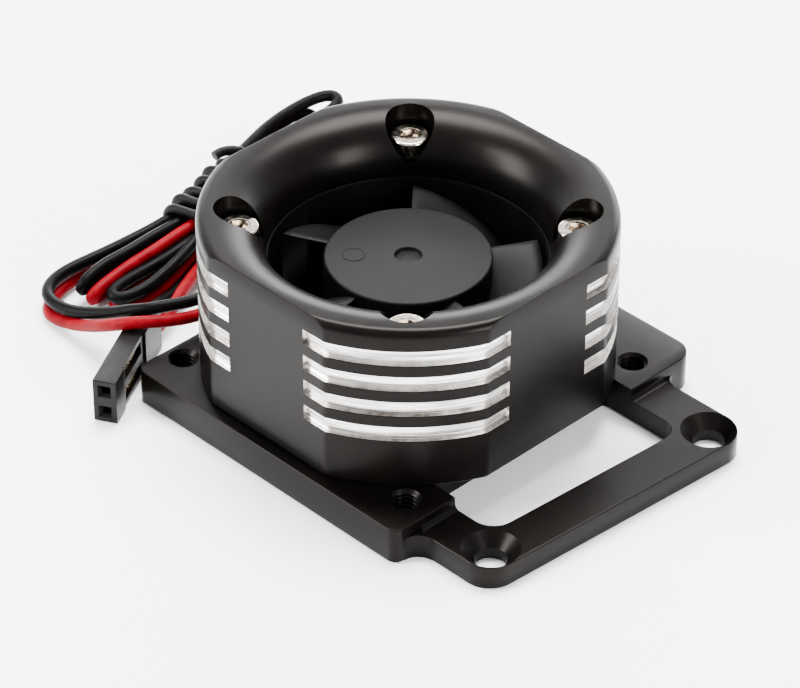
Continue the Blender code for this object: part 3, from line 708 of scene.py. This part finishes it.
def build_housing():
    columns = housing_columns()
    bm = bmesh.new()
    grid = []
    bare = []
    for angle, outer, inner, grooved, local in columns:
        profile = column_profile(outer, inner, grooved, local)
        grid.append([bm.verts.new((r * math.cos(angle), r * math.sin(angle), z)) for r, z, _ in profile])
        bare.append([metal for _, _, metal in profile])
    count, rows = len(grid), len(grid[0])
    for i in range(count):
        j = (i + 1) % count
        for k in range(rows):
            n = (k + 1) % rows
            face = bm.faces.new((grid[i][k], grid[j][k], grid[j][n], grid[i][n]))
            in_groove = columns[i][3] or columns[j][3]
            face.material_index = 1 if in_groove and bare[i][k] and bare[i][n] else 0
    housing = place("fan_housing_visual", bm, [MATERIALS["anodised"], MATERIALS["groove"]])

    def pockets(bm):
        profile = [(0, LEDGE_Z - 1.0), (POCKET_HOLE_R, LEDGE_Z - 1.0), (POCKET_HOLE_R, SEAT_Z),
                   (POCKET_R - 0.2, SEAT_Z), (POCKET_R, SEAT_Z + 0.2), (POCKET_R, HOUSING_TOP + 2.0),
                   (0, HOUSING_TOP + 2.0)]
        for x, y in four_corners(SCREW_HALF_PITCH):
            add_lathe(bm, profile, 96, x, y)

    def lead_notch(bm):
        outside, inside = -HOUSING_R - 1.0, -CAVITY_HALF + 1.0
        near, far = NOTCH_Y
        outline = [(outside, near), (inside, near), (inside, far), (outside, far)]
        add_prism(bm, outline, 0.0, NOTCH_TOP)

    boolean(housing, "DIFFERENCE", pockets)
    boolean(housing, "DIFFERENCE", lead_notch)
    smooth(housing, 28.0)
    stand_for(housing, STATIC, "anodised_aluminium", "fan_housing")


# ---------------------------------------------------------------- screws


def build_screws():
    """Socket heads with a rounded rim and a hexagon socket with a drill point."""
    names = {(-1, -1): "front_left", (-1, 1): "back_left", (1, -1): "front_right", (1, 1): "back_right"}
    bottom = SEAT_Z + 0.2
    dish = HEAD_TOP - 0.06
    for (sx, sy), name in names.items():
        x, y = sx * SCREW_HALF_PITCH, sy * SCREW_HALF_PITCH
        profile = [(0, SHANK_BOTTOM), (SHANK_R - 0.3, SHANK_BOTTOM), (SHANK_R, SHANK_BOTTOM + 0.3),
                   (SHANK_R, bottom), (HEAD_R - 0.05, bottom), (HEAD_R, bottom + 0.05),
                   (HEAD_R, HEAD_TOP - HEAD_ROUND)]
        profile += arc(HEAD_R - HEAD_ROUND, HEAD_TOP - HEAD_ROUND, HEAD_ROUND, HEAD_ROUND, 0, 90, 5)[1:]
        profile += [(1.2, HEAD_TOP), (1.12, dish), (0, dish)]
        bm = bmesh.new()
        add_lathe(bm, profile, 72, x, y)
        screw = place(f"clamp_screw_{name}_visual", bm, [MATERIALS["screw"]])

        def socket(bm, x=x, y=y):
            hexagon = circle(SOCKET_R, 6, x, y)
            tip = [(x + (px - x) * 0.05, y + (py - y) * 0.05) for px, py in hexagon]
            levels = [(tip, -SOCKET_DEPTH - 0.35), (hexagon, -SOCKET_DEPTH), (hexagon, 1.0)]
            add_loft(bm, [[(*p, HEAD_TOP + height) for p in outline] for outline, height in levels])

        boolean(screw, "DIFFERENCE", socket)
        smooth(screw, 35.0)
        stand_for(screw, STATIC, "bright_steel", f"clamp_screw_{name}")


# ---------------------------------------------------------------- fan


def build_fan_frame():
    bm = bmesh.new()
    add_prism(bm, square(FRAME_HALF, FRAME_CORNER), FRAME_BOTTOM, FRAME_TOP, 0.15)
    body = place("fan_frame_visual", bm, [MATERIALS["frame"]])

    def bore(bm):
        """The air way, with its edges broken."""
        profile = [(0, 6.0), (DUCT_R + 0.15, 6.0), (DUCT_R + 0.15, FRAME_BOTTOM),
                   (DUCT_R, FRAME_BOTTOM + 0.15), (DUCT_R, FRAME_TOP - 0.25),
                   (DUCT_R + 0.1, FRAME_TOP - 0.05), (DUCT_R + 0.2, FRAME_TOP), (DUCT_R + 0.2, 18.0),
                   (0, 18.0)]
        add_lathe(bm, profile, 160)

    def spider(bm):
        """The motor's base and the tube round its bearings."""
        profile = [(TUBE_BORE, FRAME_BOTTOM), (BASE_R - 0.1, FRAME_BOTTOM), (BASE_R, FRAME_BOTTOM + 0.1),
                   (BASE_R, BASE_TOP - 0.1), (BASE_R - 0.1, BASE_TOP), (TUBE_R, BASE_TOP), (TUBE_R, TUBE_TOP),
                   (TUBE_BORE, TUBE_TOP)]
        add_lathe(bm, profile, 96)

    def struts(bm):
        reach, inner, half = 14.6, 7.4, 0.75
        spans = [((-reach, CHANNEL_Y[0] - 0.5), (-inner, CHANNEL_Y[1] + 0.5), LEAD_STRUT_TOP),
                 ((inner, -half), (reach, half), STRUT_TOP),
                 ((-half, inner), (half, reach), STRUT_TOP),
                 ((-half, -reach), (half, -inner), STRUT_TOP)]
        for (x0, y0), (x1, y1), top in spans:
            corners = [(x0, y0, 0.05), (x1, y0, 0.05), (x1, y1, 0.05), (x0, y1, 0.05)]
            add_prism(bm, rounded(corners, 45.0), FRAME_BOTTOM, top, 0.12)

    def cuts(bm):
        for x, y in four_corners(SCREW_HALF_PITCH):
            add_prism(bm, circle(FRAME_HOLE_R, 48, x, y), 6.0, 18.0)
        add_prism(bm, circle(RECESS_R, 96), 6.0, RECESS_TOP)
        near, far = CHANNEL_Y
        channel = [(-16.0, near), (-7.8, near), (-7.8, far), (-16.0, far)]
        add_prism(bm, channel, 6.0, CHANNEL_TOP)

    boolean(body, "DIFFERENCE", bore)
    boolean(body, "UNION", spider)
    boolean(body, "UNION", struts)
    boolean(body, "DIFFERENCE", cuts)
    smooth(body)
    stand_for(body, STATIC, "fan_plastic", "fan_frame")


def add_blade(bm, lead):
    """One broad blade with rounded edges, high in front and low behind, cupped along its chord."""
    chord, ribs = 32, 10
    sides = {}
    for side in (0, 1):
        for i in range(chord + 1):
            along = i / chord
            z_mid = BLADE_HIGH - (BLADE_HIGH - BLADE_LOW) * (0.62 * along + 0.38 * along * along)
            full = math.sqrt(max(0.0, 1 - abs(2 * along - 1) ** 6))
            for k in range(ribs + 1):
                out = k / ribs
                radius = BLADE_ROOT_R + (BLADE_TIP_R - BLADE_ROOT_R) * out
                taper = math.sqrt(max(0.0, 1 - max(0.0, out - 0.9) ** 2 / 0.01)) if out > 0.9 else 1.0
                half = max(0.02, BLADE_T / 2 * full * taper)
                angle = math.radians(lead - BLADE_SPAN * along)
                z = z_mid + half * (1 - 2 * side)
                sides[side, i, k] = bm.verts.new((radius * math.cos(angle), radius * math.sin(angle), z))
    for i in range(chord):
        for k in range(ribs):
            bm.faces.new((sides[0, i, k], sides[0, i + 1, k], sides[0, i + 1, k + 1], sides[0, i, k + 1]))
            bm.faces.new((sides[1, i, k], sides[1, i, k + 1], sides[1, i + 1, k + 1], sides[1, i + 1, k]))
        for k in (0, ribs):
            bm.faces.new((sides[0, i, k], sides[1, i, k], sides[1, i + 1, k], sides[0, i + 1, k]))
    for i in (0, chord):
        for k in range(ribs):
            bm.faces.new((sides[0, i, k], sides[0, i, k + 1], sides[1, i, k + 1], sides[1, i, k]))


def build_impeller():
    """The hub cup with the dimple in its face and the boss under it, the blades, and the gate's thin lip."""
    bm = bmesh.new()
    top = FRAME_TOP
    profile = [(0, 16.62), (0.85, 16.62), (0.9, 16.66), (1.26, 16.66), (1.34, 16.74), (DIMPLE_R, 16.9),
               (DIMPLE_R, top - 0.06), (DIMPLE_R + 0.06, top)]
    profile += arc(HUB_R - HUB_ROUND, top - HUB_ROUND, HUB_ROUND, HUB_ROUND, 90, 0, 6)
    profile += [(HUB_R, HUB_RIM + 0.05), (HUB_R - 0.05, HUB_RIM), (HUB_BORE + 0.05, HUB_RIM),
                (HUB_BORE, HUB_RIM + 0.05), (HUB_BORE, HUB_ROOF), (1.8, HUB_ROOF), (1.8, 15.3), (0.8, 15.3),
                (0.8, HUB_ROOF), (0, HUB_ROOF)]
    add_lathe(bm, profile, 160)
    for k in range(BLADES):
        add_blade(bm, BLADE_LEAD + 360 // BLADES * k)
    gate = Vector((-0.70, -0.714)) * 5.5
    lip = [(0, top + 0.008), (1.04, top + 0.008), (1.08, top + 0.05), (1.16, top + 0.05), (1.22, top - 0.05),
           (0, top - 0.05)]
    add_lathe(bm, lip, 48, gate.x, gate.y)
    impeller = place("impeller_visual", bm, [MATERIALS["impeller"]])
    smooth(impeller, 38.0)
    stand_for(impeller, ROTOR, "impeller_plastic", "impeller")


# ---------------------------------------------------------------- leads


def curve_through(points, step):
    """A smooth curve through the points, sampled about `step` apart."""
    knots = [np.array(point) for point in points]
    knots = [2 * knots[0] - knots[1]] + knots + [2 * knots[-1] - knots[-2]]
    samples = []
    for i in range(1, len(knots) - 2):
        a, b, c, d = knots[i - 1:i + 3]
        count = max(1, round(np.linalg.norm(c - b) / step))
        for k in range(count):
            t = k / count
            samples.append(0.5 * (2 * b + (c - a) * t + (2 * a - 5 * b + 4 * c - d) * t ** 2
                                  + (3 * b - a - 3 * c + d) * t ** 3))
    return np.array(samples + [knots[-2]])


# The middle of the hank's waist at both ends, and the direction across it
WAIST = (np.array([-33.6, 0.2]), np.array([-36.9, 11.2]))
ACROSS = np.array([0.958, 0.287])


def waist(column, height, upwards):
    """Points along one wire's place through the waist."""
    ends = WAIST if upwards else WAIST[::-1]
    along = [ends[0] + (ends[1] - ends[0]) * t + ACROSS * column for t in (0.12, 0.5, 0.88)]
    return [(p[0], p[1], height) for p in along]


# Points along each wire: OUT from the board round the hank, HANK through its folds, HOME to the plug.
# About one in six is a place picked by eye on the photo, with a guessed height, that a separate script
# turned into millimetres. The rest were given one by one, some as small moves of such points.
OUT_RED = [(-8.4, -3.5, 7.67), (-12.0, -3.5, 7.67), (-14.9, -3.8, 7.6), (-16.8, -5.7, 6.75),
           (-18.5, -8.5, 5.8), (-19.5, -11.5, 5.3), (-20.2, -14.7, 5.9), (-21.4, -16.4, 6.0),
           (-22.8, -18.1, 5.95), (-25.3, -18.7, 4.7), (-29.4, -18.4, 2.4), (-32.6, -18.4, 1.2),
           (-34.7, -18.45, 0.8), (-35.9, -18.15, 0.72), (-36.9, -17.2, 0.72), (-37.6, -15.7, 0.72),
           (-38.4, -12.9, 0.75), (-38.4, -10.1, 0.8), (-38.0, -7.1, 1.0), (-37.4, -4.2, 1.3)]
OUT_BLACK = [(-8.4, -1.9, 7.67), (-12.0, -1.9, 7.67), (-15.1, -2.0, 7.67), (-17.5, -3.7, 7.4),
             (-19.6, -7.0, 6.9), (-20.5, -10.8, 6.4), (-21.5, -13.6, 6.65), (-22.5, -15.3, 6.5),
             (-24.5, -16.4, 5.85), (-27.2, -16.8, 4.35), (-30.2, -17.6, 3.15), (-32.8, -18.1, 2.5),
             (-35.3, -18.0, 2.2), (-36.9, -17.4, 2.12), (-38.1, -15.9, 2.1), (-38.6, -14.0, 2.15),
             (-38.5, -11.9, 2.3), (-38.0, -9.0, 2.5), (-37.6, -6.5, 2.7), (-37.2, -4.0, 2.95)]
HOME_RED = [(-30.5, -1.3, 1.7), (-29.1, -3.85, 1.85), (-27.4, -7.1, 1.8), (-26.0, -9.5, 1.6),
            (-25.1, -11.8, 1.4), (-24.5, -13.8, 1.3), (-23.74, -15.13, 1.3)]
HOME_BLACK = [(-31.2, -1.4, 1.0), (-30.0, -3.9, 0.75), (-29.1, -6.4, 0.72), (-28.6, -8.4, 1.1),
              (-27.6, -10.1, 1.8), (-26.2, -11.7, 3.1), (-24.6, -13.7, 3.8), (-23.74, -15.13, 3.84)]
LOW, MIDDLE, TOP = 1.6, 2.77, 3.94  # heights of the three layers at the waist
HANK_RED = (
    [(-36.8, -1.6, 1.5)] + waist(-2.4, LOW, True)
    + [(-39.6, 13.8, 2.3), (-41.0, 18.5, 2.1), (-41.9, 24.0, 2.15), (-41.7, 27.3, 2.5), (-40.8, 29.1, 2.9),
       (-39.8, 28.4, 3.1), (-39.2, 24.0, 3.1), (-38.5, 18.0, 3.2)]
    + waist(0.35, TOP, False)
    + [(-33.86, -0.4, 3.6), (-33.76, -4.1, 3.2), (-33.95, -7.5, 2.7), (-33.9, -10.5, 2.3),
       (-33.7, -12.6, 2.1), (-33.55, -13.8, 1.85), (-33.65, -14.2, 1.4), (-33.9, -13.8, 0.95),
       (-34.3, -12.4, 0.72), (-34.9, -9.5, 0.72), (-35.0, -6.0, 0.8), (-34.8, -2.4, 1.6)]
    + waist(-0.35, MIDDLE, True)
    + [(-39.2, 13.6, 1.3), (-40.8, 17.5, 0.78), (-42.2, 21.5, 0.72), (-42.0, 24.2, 0.72),
       (-41.0, 25.3, 0.72), (-39.9, 24.8, 0.72), (-39.3, 22.5, 0.72), (-38.4, 18.0, 0.8), (-37.9, 13.8, 1.1)]
    + waist(-1.05, LOW, False)
    + [(-33.5, -2.2, 1.5), (-32.7, -5.6, 1.05), (-32.7, -9.6, 0.8), (-32.4, -11.7, 0.75),
       (-31.7, -12.7, 0.72), (-30.85, -12.3, 0.72), (-30.3, -11.0, 0.75), (-30.1, -9.2, 0.8),
       (-30.15, -7.3, 0.95), (-30.7, -4.2, 1.4), (-31.6, -1.0, 2.3)]
    + waist(2.4, MIDDLE, True)
    + [(-34.2, 12.6, 2.8), (-34.4, 15.4, 2.6), (-35.0, 16.9, 2.0), (-35.4, 16.3, 1.2), (-35.2, 13.6, 1.1)]
    + waist(1.65, LOW, False))
HANK_BLACK = (
    [(-36.75, -1.5, 3.3)] + waist(-2.35, TOP, True)
    + [(-40.1, 14.2, 4.4), (-41.4, 18.5, 4.6), (-42.0, 23.0, 4.8), (-41.7, 26.8, 5.0), (-40.7, 28.5, 5.0),
       (-39.6, 28.0, 4.8), (-39.1, 26.0, 4.6), (-38.6, 19.0, 4.45)]
    + waist(-1.0, TOP, False)
    + [(-35.1, -1.2, 3.8), (-35.3, -4.0, 3.6), (-35.3, -7.6, 3.4), (-35.6, -9.6, 3.2), (-35.5, -11.6, 3.05),
       (-35.2, -13.3, 2.85), (-35.05, -14.2, 2.4), (-35.1, -14.4, 1.95), (-35.3, -13.9, 1.55),
       (-35.6, -12.6, 1.4), (-36.1, -9.6, 1.4), (-36.3, -6.0, 1.6), (-35.9, -2.0, 2.2)]
    + waist(-1.7, MIDDLE, True)
    + [(-40.2, 13.8, 3.1), (-41.8, 19.0, 3.45), (-42.5, 23.5, 3.5), (-42.1, 25.6, 3.3), (-41.2, 26.2, 3.0),
       (-40.4, 25.0, 2.6), (-39.6, 21.0, 2.0), (-38.6, 17.0, 2.0), (-37.3, 14.0, 2.4)]
    + waist(1.05, MIDDLE, False)
    + [(-32.5, 0.1, 3.1), (-32.5, -2.4, 2.8), (-32.55, -4.9, 2.5), (-32.8, -7.5, 2.3), (-32.8, -10.1, 2.2),
       (-32.45, -12.0, 2.1), (-31.8, -12.95, 2.0), (-30.95, -12.6, 1.95), (-30.4, -11.3, 2.1),
       (-30.2, -9.2, 2.2), (-30.5, -7.0, 2.35), (-31.0, -3.8, 2.75), (-31.7, -0.7, 3.4)]
    + waist(1.7, TOP, True)
    + [(-35.2, 13.4, 4.1), (-35.7, 16.4, 3.9), (-36.4, 17.9, 3.2), (-36.7, 17.2, 2.2), (-36.5, 14.0, 1.8)]
    + waist(0.3, LOW, False))


def settle(lines, held):
    """Presses touching wires apart and off the floor, spreading each shift along its wire.

    `held` marks the points that don't move. Neighbours along one wire don't press on each other.
    """
    sizes = [len(line) for line in lines]
    rest = np.concatenate(lines)
    shift = np.zeros_like(rest)
    free = ~np.concatenate(held)
    which = np.concatenate([np.full(size, i) for i, size in enumerate(sizes)])
    order = np.concatenate([np.arange(size) for size in sizes])
    near_self = (which[:, None] == which[None]) & (np.abs(order[:, None] - order[None]) < 5)
    ends = np.cumsum(sizes)
    inner = np.ones(len(rest), bool)
    inner[ends - 1] = False
    inner[ends - sizes] = False
    inside = np.flatnonzero(inner)
    for _ in range(160):
        points = rest + shift
        gap = points[:, None] - points[None]
        far = np.sqrt((gap ** 2).sum(2))
        far[near_self] = 99.0
        press = np.maximum(0.0, WIRE_D + 0.03 - far)
        push = (gap / np.maximum(far, 0.05)[..., None] * press[..., None]).sum(1)
        push[:, 2] += 2.0 * np.maximum(0.0, WIRE_R + 0.02 - points[:, 2])
        step = np.clip(push * 0.3, -0.15, 0.15)
        step[inside] += ((shift[inside - 1] + shift[inside + 1]) / 2 - shift[inside]) * 0.6
        shift = (shift + step - 0.004 * shift) * free[:, None]
    points = rest + shift
    for _ in range(3):
        points[inside] += ((points[inside - 1] + points[inside + 1]) / 2 - points[inside]) * 0.5
    return np.split(points, ends[:-1])


def lead_lines():
    """The centreline of both leads, from the fan's board to their contacts in the plug."""
    lines = []
    held = []
    for route in (OUT_RED + HANK_RED + HOME_RED, OUT_BLACK + HANK_BLACK + HOME_BLACK):
        line = curve_through(route, LEAD_STEP)
        fixed = np.zeros(len(line), bool)
        fixed[:9] = True
        fixed[-5:] = True
        lines.append(line)
        held.append(fixed)
    return settle(lines, held)


def wire_object(name, line, radius, material):
    """A round wire along a line of points."""
    curve = bpy.data.curves.new(name, "CURVE")
    curve.dimensions = "3D"
    curve.bevel_depth = radius * MM
    curve.bevel_resolution = 5
    curve.use_fill_caps = True
    spline = curve.splines.new("POLY")
    spline.points.add(len(line) - 1)
    for knot, point in zip(spline.points, line):
        knot.co = (*((Vector(point) + ORIGIN) * MM), 1.0)
    spline.use_smooth = True
    curve.materials.append(material)
    obj = bpy.data.objects.new(name, curve)
    bpy.context.collection.objects.link(obj)
    return obj


def build_leads():
    """Both leads whole, each with where it leaves the board and its length in millimetres."""
    found = {}
    for name, line in zip(("red", "black"), lead_lines()):
        length = float(np.linalg.norm(np.diff(line, axis=0), axis=1).sum())
        found[name] = (wire_object(f"lead_{name}", line, WIRE_R, MATERIALS[name]), line[0], length)
    return found


def build_tie():
    """A plastic-covered wire wound round the waist, its free end turned back over the last turn."""
    low, high, left, right, corner = 0.6, 5.1, -3.65, 3.9, 1.5
    ring = []
    for cx, cz, start in ((right - corner, high - corner, 0), (left + corner, high - corner, 90),
                          (left + corner, low + corner, 180), (right - corner, low + corner, 270)):
        ring += arc(cx, cz, corner, corner, start, start + 90, 6)
    total = len(ring) * TIE_TURNS + 12
    points = []
    for i in range(total):
        side, height = ring[i % len(ring)]
        loose = 1 + 0.03 * math.sin(i * 0.37)
        along = i / (total - 1) + 0.01 * math.sin(i * 0.23)
        p = WAIST[0] + (WAIST[1] - WAIST[0]) * along + ACROSS * side * loose
        points.append((p[0], p[1], low + (height - low) * loose))
    points += [(-37.7, 11.9, 6.1), (-38.6, 10.9, 6.6), (-39.1, 9.7, 6.65), (-39.2, 8.8, 6.5)]
    return wire_object("twist_tie_visual", curve_through(points, 0.6), TIE_R, MATERIALS["tie"])


# ---------------------------------------------------------------- plug


PLUG_FRONT = Vector((-17.7, -25.85, 0.03))
PLUG_ALONG = Vector((-0.4907, 0.8713, 0.0))
PLUG_SIDE = Vector((-0.8713, -0.4907, 0.0))  # away from the windows


def plug_point(along, side, z):
    """A place in the plug: along it from its front face, across it, and up."""
    return tuple(PLUG_FRONT + PLUG_ALONG * along + PLUG_SIDE * side + Vector((0, 0, z)))


def plug_box(bm, a0, a1, s0, s1, z0, z1, edge=0.0):
    """A box along the plug, its long edges rounded by `edge`."""
    if edge:
        corners = [(s0, z0, edge), (s1, z0, edge), (s1, z1, edge), (s0, z1, edge)]
        section = rounded(corners, 30.0)
        tight = offset(section, -edge * 0.7)
        stations = [(a0, tight), (a0 + edge * 0.7, section), (a1 - edge * 0.7, section), (a1, tight)]
    else:
        section = [(s0, z0), (s1, z0), (s1, z1), (s0, z1)]
        stations = [(a0, section), (a1, section)]
    add_loft(bm, [[plug_point(a, s, z) for s, z in outline] for a, outline in stations])


def build_plug():
    bm = bmesh.new()
    plug_box(bm, 0.0, PLUG_LENGTH, -PLUG_HALF_W, PLUG_HALF_W, 0.0, PLUG_H, 0.12)
    plug = place("connector_housing_visual", bm, [MATERIALS["plug"]])

    def cavities(bm):
        for z in PIN_HEIGHTS:
            plug_box(bm, 1.0, PLUG_LENGTH + 1.0, -0.85, 0.85, z - 0.85, z + 0.85)

    def mouths(bm):
        """Square openings with a lead-in slope."""
        for z in PIN_HEIGHTS:
            loops = [[plug_point(a, s, z + t) for s, t in ((-h, -h), (h, -h), (h, h), (-h, h))]
                     for a, h in ((-0.5, 0.95), (0.0, 0.72), (0.45, 0.45), (2.0, 0.45))]
            add_loft(bm, loops)

    def windows(bm):
        for z in PIN_HEIGHTS:
            plug_box(bm, 3.4, 8.4, -2.0, -0.7, z - 0.75, z + 0.75)

    def relief(bm):
        """The latch side is stepped back around the windows."""
        plug_box(bm, 2.6, 9.2, -2.0, -1.02, -1.0, 6.2)

    boolean(plug, "DIFFERENCE", cavities)
    boolean(plug, "DIFFERENCE", mouths)
    boolean(plug, "DIFFERENCE", relief)
    boolean(plug, "DIFFERENCE", windows)
    smooth(plug, 25.0)
    stand_for(plug, STATIC, "plug_plastic", "connector_housing")

    contacts = []
    for z, name in zip(PIN_HEIGHTS, ("lower", "upper")):
        bm = bmesh.new()
        plug_box(bm, 1.3, 7.2, -0.62, 0.62, z - 0.62, z + 0.62, 0.1)  # the socket box
        contact = place(f"crimp_contact_{name}_visual", bm, [MATERIALS["brass"]])

        def bore(bm, z=z):
            plug_box(bm, 0.0, 6.8, -0.4, 0.4, z - 0.4, z + 0.4)

        boolean(contact, "DIFFERENCE", bore)

        def barrel(bm, z=z):
            plug_box(bm, 7.0, 9.4, -0.5, 0.5, z - 0.55, z - 0.3, 0.05)
            plug_box(bm, 9.2, 12.0, -0.62, 0.62, z - 0.6, z + 0.5, 0.25)

        boolean(contact, "UNION", barrel)
        smooth(contact, 30.0)
        stand_for(contact, STATIC, "contact_brass", f"crimp_contact_{name}")
        contacts.append(contact)
    return plug, contacts


# ---------------------------------------------------------------- hidden pieces keep their CAD shapes


def finish_cad_nodes():
    steel = ("rotor_yoke", "rotor_shaft", "shaft_clip", "bearing_lower", "bearing_upper", "preload_spring",
             "stator_core")
    finishes = {name: "steel" for name in steel}
    finishes.update({f"stator_coil_{i}": "copper" for i in range(1, 5)})
    finishes.update(rotor_magnet="ferrite", circuit_board="board", driver_chip="chip", base_label="label")
    for name, key in finishes.items():
        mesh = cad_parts[name].data
        mesh.materials.clear()
        mesh.materials.append(MATERIALS[key])


# ---------------------------------------------------------------- stage


def build_floor():
    """A pale floor that curves up out of sight behind."""
    bm = bmesh.new()
    curve = [(FLOOR_RISE_AT + FLOOR_CURVE_R * math.sin(a), FLOOR_CURVE_R - FLOOR_CURVE_R * math.cos(a))
             for a in (math.radians(9 * i) for i in range(1, 11))]
    profile = [(-FLOOR_SIDE, 0.0), (FLOOR_RISE_AT, 0.0)] + curve
    profile += [(FLOOR_RISE_AT + FLOOR_CURVE_R, FLOOR_SIDE)]
    rows = []
    for distance, height in profile:
        ends = [BEHIND * distance + ASIDE * side for side in (-FLOOR_SIDE, FLOOR_SIDE)]
        rows.append([bm.verts.new((*end, height - FLOOR_DROP)) for end in ends])
    for low, high in zip(rows, rows[1:]):
        bm.faces.new((low[0], low[1], high[1], high[0]))
    mesh = bpy.data.meshes.new("floor")
    bm.to_mesh(mesh)
    bm.free()
    n = Nodes("floor")
    n.set(Roughness=0.85, Specular_IOR_Level=0.2)
    n.shader.inputs["Base Color"].default_value = (0.985, 0.985, 0.985, 1.0)
    mesh.materials.append(n.material)
    mesh.polygons.foreach_set("use_smooth", np.ones(len(mesh.polygons), bool))
    floor = bpy.data.objects.new("floor", mesh)
    bpy.context.collection.objects.link(floor)


def build_lights():
    """A white world and four soft boxes aimed at the part."""
    world = bpy.data.worlds.new("studio")
    bpy.context.scene.world = world
    world.use_nodes = True
    world.node_tree.nodes["Background"].inputs["Color"].default_value = (1.0, 1.0, 1.0, 1.0)
    world.node_tree.nodes["Background"].inputs["Strength"].default_value = WORLD_LIGHT

    for name, place_at, size, power in LIGHTS:
        light = bpy.data.lights.new(name, "AREA")
        light.shape = "RECTANGLE"
        light.size, light.size_y = size
        light.energy = power
        lamp = bpy.data.objects.new(name, light)
        lamp.location = place_at
        lamp.rotation_euler = (-Vector(place_at)).to_track_quat("-Z", "Y").to_euler()
        bpy.context.collection.objects.link(lamp)


def build_camera():
    """The camera at the angle, distance and lens that the part was seen from."""
    azimuth = math.radians(CAMERA_AZIMUTH)
    elevation = math.radians(CAMERA_ELEVATION)
    roll = math.radians(CAMERA_ROLL)
    back = Vector((math.sin(azimuth) * math.cos(elevation), -math.cos(azimuth) * math.cos(elevation),
                   math.sin(elevation)))
    camera = bpy.data.cameras.new("camera")
    camera.lens = CAMERA_LENS
    camera.sensor_width = 36.0
    camera.clip_start = 0.01
    obj = bpy.data.objects.new("camera", camera)
    obj.location = (CAMERA_TARGET + ORIGIN) * MM + back * CAMERA_DISTANCE * MM
    right = Vector((math.cos(azimuth), math.sin(azimuth), 0.0))
    up = back.cross(right)
    turned = right * math.cos(roll) + up * math.sin(roll)
    upright = up * math.cos(roll) - right * math.sin(roll)
    obj.rotation_mode = "QUATERNION"
    obj.rotation_quaternion = Matrix((turned, upright, back)).transposed().to_quaternion()
    bpy.context.collection.objects.link(obj)
    bpy.context.scene.camera = obj


build_camera()
build_floor()
build_lights()
leads = build_leads()
tie = build_tie()
plug, contacts = build_plug()
build_plate()
build_housing()
build_screws()
build_fan_frame()
build_impeller()
finish_cad_nodes()

stand_for(tie, STATIC, "tie_plastic", "twist_tie")
for name, pieces in (("red", [plug, contacts[0], tie]), ("black", [contacts[1]])):
    lead, start, length = leads[name]
    stand_for(lead, STATIC, f"wire_{name}", f"lead_{name}_fan", f"lead_{name}_plug", "wire_hank")

bpy.context.view_layer.update()
